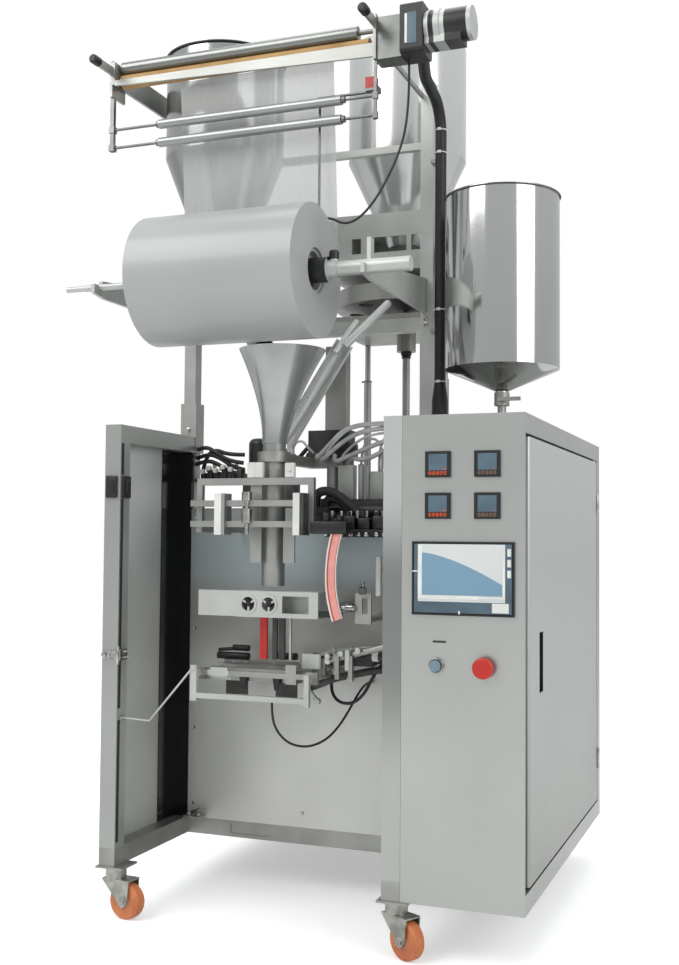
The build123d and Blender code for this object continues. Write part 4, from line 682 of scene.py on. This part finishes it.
def add_band(mesh, y_low, y_high, shift_low, shift_high):
    """A strip along the belt's line."""
    rows = []
    for step in range(BELT_STEPS + 1):
        x, z = band_path(step / BELT_STEPS)
        ahead = band_path(step / BELT_STEPS + 0.01)
        slope = Vector((ahead[0] - x, ahead[1] - z)).normalized()
        side = Vector((-slope.y, slope.x))
        row = []
        for shift in (shift_low, shift_high):
            for y in (y_low, y_high):
                row.append(mesh.verts.new((x + side.x * shift, y, z + side.y * shift)))
        rows.append(row)
    for before, after in zip(rows, rows[1:]):
        for a, b in ((0, 1), (1, 3), (3, 2), (2, 0)):
            mesh.faces.new((before[a], before[b], after[b], after[a]))
    for row in (rows[0], rows[-1]):
        mesh.faces.new((row[0], row[1], row[3], row[2]))


belt = bmesh.new()
add_band(belt, 90, 93, -5.5, 8.2)
finish_piece("belt", belt, "woven_belt")
edges = bmesh.new()
add_band(edges, 89, 94, -12, -8.5)
add_band(edges, 89, 94, 10, 12)
finish_piece("belt_edges", edges, "white_acetal")
threads = bmesh.new()
add_band(threads, 89.6, 93.4, -8.5, -5.5)
add_band(threads, 89.6, 93.4, 8.2, 10)
finish_piece("belt_threads", threads, "belt_red")
carrier = bmesh.new()
add_block(carrier, (440, 86, 812), (520, 118, 838), ease=2, segments=2)
add_block(carrier, (457, 96, 640), (506, 110, 652), ease=2)
add_rod(carrier, (470, 102, 838), (470, 102, 856), 9, ease=1.5)
add_rod(carrier, (500, 102, 838), (500, 102, 850), 7, ease=1.5)
finish_piece("belt_carrier", carrier, "black_powder_coat")

# Valve block and fittings in front of the motor of the pulling unit

valves = bmesh.new()
add_block(valves, (446, 150, 806), (620, 248, 822), ease=2)
for index in range(5):
    x = 452 + index * 33
    add_block(valves, (x, 160, 822), (x + 26, 236, 846 + 5 * (index % 2)), ease=2, segments=2)
    add_rod(valves, (x + 8, 172, 838), (x + 8, 172, 860), 5, ease=1)
add_block(valves, (604, 176, 800), (RIGHT_WALL, 226, 826), ease=2)
finish_piece("valve_block", valves, "black_powder_coat")
fittings = bmesh.new()
for index in range(9):
    x = 452 + index * 19
    drop = 6 * (index % 3)
    add_rod(fittings, (x, 152, 812), (x, 142 - drop, 812), 4.5, ease=1, sides=16)
    add_rod(fittings, (x + 6, 166 + drop, 846), (x + 6, 166 + drop, 862), 3.6, ease=1, sides=6)
finish_piece("valve_fittings", fittings, "polished_bolt")
add_curve("air_pipes", [
    [(404, 205, 872), (404, 202, 899), (430, 200, 908), (462, 200, 896), (500, 200, 862),
     (520, 200, 846)],
    [(424, 214, 872), (428, 212, 890), (452, 210, 890), (478, 210, 872), (490, 210, 850)]],
    10, "black_rubber")
block_piece("pipe_holder", (388, 190, 858), (440, 322, 872), 2,
            "black_powder_coat")

# Cartridges on a bar behind the rear jaw, and the cylinder at the lever

bar = bmesh.new()
add_block(bar, (176, 226, 502), (456, 238, 530), ease=1.5)
for x in (200, 232, 300, 372):
    add_bolt(bar, (x, 226, 522), (0, -1, 0), across=8, height=3)
finish_piece("clamp_bar", bar, "pickled_plate")
cartridge = bmesh.new()
add_rod(cartridge, (196, 232, 556), (236, 232, 556), 7, ease=1.5)
add_rod(cartridge, (160, 232, 550), (198, 232, 554), 4, ease=1)
add_rod(cartridge, (158, 232, 538), (236, 232, 538), 8, ease=1.5)
add_rod(cartridge, (300, 232, 542), (352, 232, 542), 8, ease=1.5)
add_block(cartridge, (388, 226, 530), (420, 240, 552), ease=2)
finish_piece("heater_cartridges", cartridge, "black_abs")
cylinder = bmesh.new()
add_rod(cylinder, (498, 178, 556), (606, 178, 556), 10, ease=1.5)
add_rod(cylinder, (600, 178, 556), (RIGHT_WALL, 178, 556), 6, ease=1)
finish_piece("jaw_cylinder", cylinder, "black_powder_coat")
ends = bmesh.new()
add_rod(ends, (548, 178, 556), (562, 178, 556), 11, ease=1.5)
add_rod(ends, (478, 178, 556), (500, 178, 556), 3.5, ease=0.5)
add_block(ends, (468, 172, 549), (480, 184, 563), ease=1.5)
add_rod(ends, (474, 150, 556), (474, 180, 556), 3, ease=0.5)
add_rod(ends, (460, 138, 545), (460, 148, 545), 6, ease=1)
finish_piece("cylinder_fittings", ends, "white_acetal")
links = bmesh.new()
for x in (462, 492, 530):
    add_rod(links, (x, 140, 556 + (x - 462) * 0.22), (x, 132, 556 + (x - 462) * 0.22), 6, ease=1)
add_block(links, (404, 132, 528), (447, 140, 560), ease=2)
add_block(links, (500, 134, 528), (512, 142, 572), ease=2)
finish_piece("lever_links", links, "blasted_plate")

# Dark shield, bent arm and tools in front of the panel, carried by the clamp bar

shield = bmesh.new()
add_block(shield, (178, 233, 452), (232, 237, 504), ease=1)
add_block(shield, (300, 233, 446), (352, 237, 504), ease=1)
add_block(shield, (438, 206, 530), (540, 232, 553), ease=3, segments=2)
add_rod(shield, (540, 218, 542), (RIGHT_WALL, 218, 560), 8, ease=1)
finish_piece("jaw_shield", shield, "dark_casting")
arm = bmesh.new()
for start, end, radius in (
        ((372, 206, 536), (452, 200, 563), 4), ((452, 200, 563), (540, 200, 573), 4),
        ((540, 200, 573), (512, 200, 556), 3), ((452, 200, 562), (456, 198, 520), 4),
        ((491, 198, 566), (491, 196, 506), 4.5), ((362, 206, 510), (414, 200, 452), 5),
        ((352, 206, 510), (388, 202, 512), 5)):
    add_rod(arm, start, end, radius, ease=0.8, sides=14)
for x, y, z, radius in ((452, 200, 563, 6), (491, 200, 566, 6), (456, 198, 518, 7),
                        (491, 196, 504, 7), (430, 202, 524, 9), (414, 200, 452, 7),
                        (184, 230, 512, 5)):
    add_rod(arm, (x, y - 6, z), (x, y + 6, z), radius, ease=1.5, sides=18)
add_block(arm, (372, 200, 504), (404, 232, 540), ease=3, segments=2)
finish_piece("jaw_arm", arm, "blasted_plate")
add_curve("jaw_hoses", [
    [(390, 216, 478), (412, 206, 486), (454, 200, 504), (500, 200, 514), (552, 202, 526),
     (629, 214, 532)]],
    8, "dark_casting")

# Deck: hose carrier at the left, bent pipes at the right, small blocks

tray = bmesh.new()
add_block(tray, (34, 346, 936), (158, 366, 944), ease=1.5)
for x, height in ((48, 14), (66, 22), (84, 16), (104, 24), (126, 18), (144, 22)):
    add_block(tray, (x, 344, 944), (x + 13, 368, 944 + height), ease=2, segments=2)
finish_piece("hose_tray", tray, "dark_casting")
lumps = bmesh.new()
for x, z in ((56, 960), (74, 968), (92, 962), (112, 970), (132, 964)):
    add_rod(lumps, (x, 344, z), (x, 332, z), 6, ease=1.5, sides=18)
    add_rod(lumps, (x + 6, 356, z), (x + 6, 356, z + 14), 5, ease=1.5, sides=6)
finish_piece("hose_fittings", lumps, "white_acetal")
add_curve("deck_hoses", [
    [(34, 352, 1012), (60, 346, 1022), (92, 344, 1004), (124, 346, 984), (158, 352, 980)],
    [(34, 358, 994), (66, 350, 1004), (100, 348, 992), (132, 350, 970), (160, 356, 964)],
    [(34, 350, 978), (64, 346, 988), (96, 344, 978), (130, 346, 956), (158, 350, 950)],
    [(48, 356, 958), (58, 352, 996), (84, 350, 1014), (118, 352, 1000), (158, 358, 1000)],
    [(234, 360, 1000), (262, 350, 1012), (292, 350, 996), (312, 352, 960), (326, 352, 1000)],
    [(234, 366, 980), (262, 356, 988), (290, 352, 974), (310, 352, 1000), (328, 350, 1016)]],
    5, "black_rubber")
# The pale hoses: painted highlight in the shade
add_curve("bent_pipes", [
    [(350, 346, 994), (351, 332, 982), (387, 326, 1016), (430, 326, 1057), (513, 332, 1064),
     (636, 362, 1064)],
    [(362, 346, 994), (363, 328, 974), (403, 322, 1010), (456, 324, 1044), (530, 334, 1054),
     (636, 366, 1058)],
    [(393, 346, 994), (395, 328, 972), (446, 326, 995), (500, 330, 1016), (560, 342, 1038),
     (636, 370, 1052)],
    [(424, 350, 968), (430, 334, 990), (470, 330, 978), (524, 332, 1004), (572, 342, 1030),
     (636, 374, 1046)]],
    5.5, "pale_lit_hose")
add_curve("thin_pipes", [
    [(372, 346, 994), (374, 322, 990), (410, 316, 1030), (452, 318, 1060), (540, 330, 1058),
     (636, 358, 1070)],
    [(408, 350, 970), (412, 330, 984), (440, 322, 1010), (480, 320, 1036), (560, 336, 1046),
     (636, 364, 1050)],
    [(500, 350, 954), (502, 340, 1000), (520, 336, 1040), (560, 344, 1020), (594, 352, 1000),
     (594, 350, 974)],
    [(458, 346, 970), (462, 336, 1010), (490, 330, 1034), (516, 334, 1010), (508, 344, 954)],
    [(340, 346, 1000), (334, 330, 1010), (318, 328, 1030), (290, 340, 1020), (276, 352, 972)]],
    3, "pale_lit_hose")
junction = bmesh.new()
add_block(junction, (632, 348, 1043), (664, 388, 1076), ease=2, segments=2)
add_block(junction, (426, 344, 984), (444, 364, 1020), ease=2)
finish_piece("pipe_junctions", junction, "dark_casting")
deck_parts = bmesh.new()
add_block(deck_parts, (404, 336, 870), (443, 362, 971), ease=3, segments=2)
add_rod(deck_parts, (458, 346, 870), (458, 346, 972), 7, ease=1)
add_rod(deck_parts, (474, 346, 870), (474, 346, 970), 5, ease=1)
add_block(deck_parts, (483, 336, 870), (514, 360, 955), ease=2, segments=2)
finish_piece("deck_fittings", deck_parts, "blasted_plate")
dark_parts = bmesh.new()
add_block(dark_parts, (546, 336, 870), (612, 366, 940), ease=2, segments=2)
add_rod(dark_parts, (562, 350, 940), (562, 350, 986), 10, ease=2)
add_rod(dark_parts, (592, 350, 940), (592, 350, 968), 12, ease=2)
add_block(dark_parts, (252, 338, 870), (300, 366, 936), ease=2, segments=2)
add_rod(dark_parts, (276, 352, 936), (276, 352, 966), 12, ease=2)
finish_piece("deck_valves", dark_parts, "dark_casting")
caps = bmesh.new()
for x, y, z in ((562, 350, 986), (592, 350, 968), (276, 352, 966)):
    add_rod(caps, (x, y, z), (x, y, z + 8), 6, ease=1.5, sides=6)
for x in (296, 314):
    add_block(caps, (x - 9, 102, 931), (x + 9, 114, 964), ease=1.5)
add_block(caps, (374, 103, 931), (396, 113, 962), ease=1.5)
add_rod(caps, (385, 104, 948), (385, 100, 948), 5, ease=1)
finish_piece("deck_caps", caps, "white_acetal")

# Upper works: ties of the conduit, hopper rims, bolts and collars

ties = bmesh.new()
for z in (1713, 1662, 1310, 1150):
    add_ring(ties, (CONDUIT_X, CONDUIT_Y, z), (0, 0, 1), 13.0, 1.3, steps=32, sides=8)
    add_block(ties, (646, 306, z - 3), (654, 311, z + 3), ease=0.8)
finish_piece("conduit_ties", ties, "white_acetal")
foot = bmesh.new()
for low, high, radius, options in (
        (1043, 1056, 19.5, {"ease": 1, "sides": 6}), (1056, 1108, 18, {"ease": 3}),
        (1106, 1146, 18, {"end_radius": 13, "ease": 1})):
    add_rod(foot, (CONDUIT_X, CONDUIT_Y, low), (CONDUIT_X, CONDUIT_Y, high), radius, **options)
finish_piece("conduit_gland", foot, "black_abs")
clips = bmesh.new()
for z in (1640, 1260):
    add_block(clips, (627.4, 318, z), (640, 346, z + 10), ease=1)
finish_piece("conduit_clips", clips, "pickled_plate")
rims = bmesh.new()
add_ring(rims, (151, 250, 1903), (0, 0, 1), 137.4, 2.6, steps=72, sides=10)
finish_piece("left_hopper_rim", rims, "black_rubber")
rims = bmesh.new()
add_ring(rims, (806, 250, 1522.6), (0, 0, 1), 121.8, 1.5, steps=72, sides=8)
finish_piece("liquid_hopper_rim", rims, "dark_casting")
bolts = bmesh.new()
for y in (348, 362):
    for z in (1325, 1365):
        add_bolt(bolts, (4, y, z), (-1, 0, 0), across=9)
for x in (19, 612.5):
    for z in (1283, 1296):
        add_bolt(bolts, (x, 340, z), (0, -1, 0), across=9)
for z in (1802, 1828):
    add_bolt(bolts, (-6, 200, z), (-1, 0, 0), across=9)
    add_bolt(bolts, (-12, 60, z), (-1, 0, 0), across=7)
for x in (19, 612.5):
    add_bolt(bolts, (x, 334.5, 1060), (0, -1, 0), across=9)
finish_piece("frame_bolts", bolts, "polished_bolt")
foot_bolts = bmesh.new()
for x in (354, 656):
    for y in (381, 679):
        add_bolt(foot_bolts, (x, y, 1463), (0, 0, 1), across=13, height=6)
for angle in range(6):
    turn = math.radians(30 + angle * 60)
    screw = (DISC_X + 40 * math.cos(turn), DISC_Y + 40 * math.sin(turn), 1312)
    add_screw(foot_bolts, screw, (0, 0, 1), radius=3)
finish_piece("filler_bolts", foot_bolts, "polished_bolt")
# The leg lever: steel darkened as painted shade
lever = bmesh.new()
add_rod(lever, (354, 680, 1209), (338, 676, 1206), 2.4, ease=0.6, sides=12)
add_ring(lever, (353, 680, 1207), (0, 0, 1), 9.5, 2)
finish_piece("leg_lever", lever, "shaded_steel")
collar = bmesh.new()
for high, low, radius in ((1254.5, 1246, 13), (1246, 1238, 11)):
    add_rod(collar, (DISC_X, DISC_Y, high), (DISC_X, DISC_Y, low), radius, ease=1.5)
finish_piece("drive_collar", collar, "black_rubber")
block_piece("gearbox_edge_plate", (666, 5.0, 1784), (671, 6.2, 1843), 0.3,
            "white_acetal")
block_piece("gearbox_plate", (671, 5.2, 1782), (690, 6.2, 1845), 0.3,
            "screen_dark")

# Roll arms: tapered plates with open slots, a short hook at the left, a tall keeper at the right

arms = bmesh.new()
for x, gap, rise, depth in ((4, 7.3, 15, 10), (604.5, 14.8, 62, 20)):
    top = SHAFT_Z + 4
    outline = [(-72, 1314), (-72, top), (SHAFT_Y - gap, top)]
    for step in range(SLOT_STEPS + 1):
        turn = math.pi + math.pi * step / SLOT_STEPS
        outline.append((SHAFT_Y + gap * math.cos(turn), SHAFT_Z + gap * math.sin(turn)))
    outline += [(SHAFT_Y + gap, SHAFT_Z + rise), (SHAFT_Y + gap + depth, SHAFT_Z + rise),
                (SHAFT_Y + gap + depth, 1345), (340, 1387), (340, 1308), (-30, 1308)]
    plate = arms.faces.new([arms.verts.new((x, y, z)) for y, z in outline])
    made = bmesh.ops.extrude_face_region(arms, geom=[plate])
    bmesh.ops.translate(arms, vec=(ARM_THICKNESS, 0, 0), verts=[item for item in made["geom"]
                                                    if isinstance(item, bmesh.types.BMVert)])
roll_arms = finish_piece("roll_arm_plates", arms, "blasted_plate")
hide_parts("roll_arms")

# Sides and back: covers with screws and air slots

block_piece("rear_cover", (50, 900, 180), (580, 901.6, 840), 0.6,
            "brushed_stainless")
screws = bmesh.new()
for x in (62, 315, 568):
    for z in (192, 510, 828):
        if not (x == 315 and z == 510):
            add_screw(screws, (x, 901.6, z), (0, 1, 0), radius=4)
for z in (230, 420, 610, 800, 980):
    add_screw(screws, (0, 250, z), (-1, 0, 0), radius=3.5)
finish_piece("cover_screws", screws, "polished_bolt")
# The air slots are dark bars on the covers: painted shade standing in for the openings
slots_mesh = bmesh.new()
for row in range(7):
    z = 700 + row * 16
    add_block(slots_mesh, (735, 899.6, z), (845, 902.2, z + 5), ease=1)
    add_block(slots_mesh, (220, 901, z - 20), (410, 903.4, z - 14), ease=1)
finish_piece("air_slots", slots_mesh, "dark_casting")
hinge_knuckles = bmesh.new()
for z in (230, 870):
    add_rod(hinge_knuckles, (909.6, 866, z), (909.6, 866, z + 50), 4.5, ease=0.8)
finish_piece("door_hinges", hinge_knuckles, "polished_bolt")

# Light, floor and camera

world = bpy.data.worlds.new("studio")
bpy.context.scene.world = world
world.use_nodes = True
world.node_tree.nodes.clear()
tree = world.node_tree
coords = add(tree, "ShaderNodeTexCoord")
split = add(tree, "ShaderNodeSeparateXYZ", {"Vector": coords.outputs["Generated"]})
height = add(tree, "ShaderNodeMapRange", {"Value": split.outputs["Z"]},
             From_Min=-0.3, From_Max=0.7, To_Min=0.55, To_Max=1.0)
soft = add(tree, "ShaderNodeBackground", {"Strength": height.outputs["Result"]},
           Color=colour("e9ebec"))
white = add(tree, "ShaderNodeBackground", Color=(1, 1, 1, 1), Strength=1.0)
path = add(tree, "ShaderNodeLightPath")
blend = add(tree, "ShaderNodeMixShader", {
    0: path.outputs["Is Camera Ray"], 1: soft.outputs["Background"],
    2: white.outputs["Background"]})
add(tree, "ShaderNodeOutputWorld", {"Surface": blend.outputs["Shader"]})


def area_lamp(name, location, target, size, power):
    """A soft square lamp aimed at a point."""
    lamp = bpy.data.lights.new(name, "AREA")
    lamp.shape = "SQUARE"
    lamp.size = size
    lamp.energy = power
    holder = bpy.data.objects.new(name, lamp)
    bpy.context.collection.objects.link(holder)
    holder.location = location
    aim = Vector(target) - Vector(location)
    holder.rotation_euler = aim.to_track_quat("-Z", "Y").to_euler()


area_lamp("key_lamp", (-1.6, -2.6, 3.4), (0, 0, 1.0), 2.2, 60)
area_lamp("fill_lamp", (3.0, -1.6, 2.2), (0, 0, 1.0), 2.0, 35)
area_lamp("top_lamp", (0.2, 0.4, 4.0), (0, 0, 1.0), 2.5, 35)

floor_mesh = bmesh.new()
bmesh.ops.create_grid(floor_mesh, x_segments=1, y_segments=1, size=14)
floor_data = bpy.data.meshes.new("floor")
floor_mesh.to_mesh(floor_data)
floor_mesh.free()
floor = bpy.data.objects.new("floor", floor_data)
bpy.context.collection.objects.link(floor)
material, tree, output = new_material("pale_floor")
diffuse = add(tree, "ShaderNodeBsdfDiffuse", Color=(0.9, 0.9, 0.9, 1))
glow = add(tree, "ShaderNodeEmission", Color=(1, 1, 1, 1), Strength=0.35)
both = add(tree, "ShaderNodeAddShader", {0: diffuse.outputs[0], 1: glow.outputs[0]})
path = add(tree, "ShaderNodeLightPath")
blend = add(tree, "ShaderNodeMixShader", {
    0: path.outputs["Is Camera Ray"], 1: diffuse.outputs[0], 2: both.outputs[0]})
tree.links.new(blend.outputs[0], output.inputs["Surface"])
floor_data.materials.append(material)

CAMERA_FROM_CORNER = (1376.1, -2184.8, 806.2)
CAMERA_YAW = 20.99
CAMERA_PITCH = 2.635
CAMERA_ROLL = 0.448
FOCAL_PIXELS = 1183.84
LONG_SIDE_PIXELS = 965

yaw = math.radians(CAMERA_YAW)
pitch = math.radians(CAMERA_PITCH)
roll = math.radians(CAMERA_ROLL)
forward = Vector((-math.sin(yaw) * math.cos(pitch), math.cos(yaw) * math.cos(pitch),
                  math.sin(pitch)))
level_right = Vector((math.cos(yaw), math.sin(yaw), 0))
level_up = level_right.cross(forward)
right = level_right * math.cos(roll) + level_up * math.sin(roll)
up = right.cross(forward)
camera_data = bpy.data.cameras.new("camera")
camera_data.sensor_width = 36
camera_data.lens = FOCAL_PIXELS / LONG_SIDE_PIXELS * camera_data.sensor_width
camera = bpy.data.objects.new("camera", camera_data)
bpy.context.collection.objects.link(camera)
turn = Matrix((right, up, -forward)).transposed().to_4x4()
camera.matrix_world = Matrix.Translation(place(*CAMERA_FROM_CORNER)) @ turn
bpy.context.scene.camera = camera
bpy.context.scene.view_settings.view_transform = "Standard"
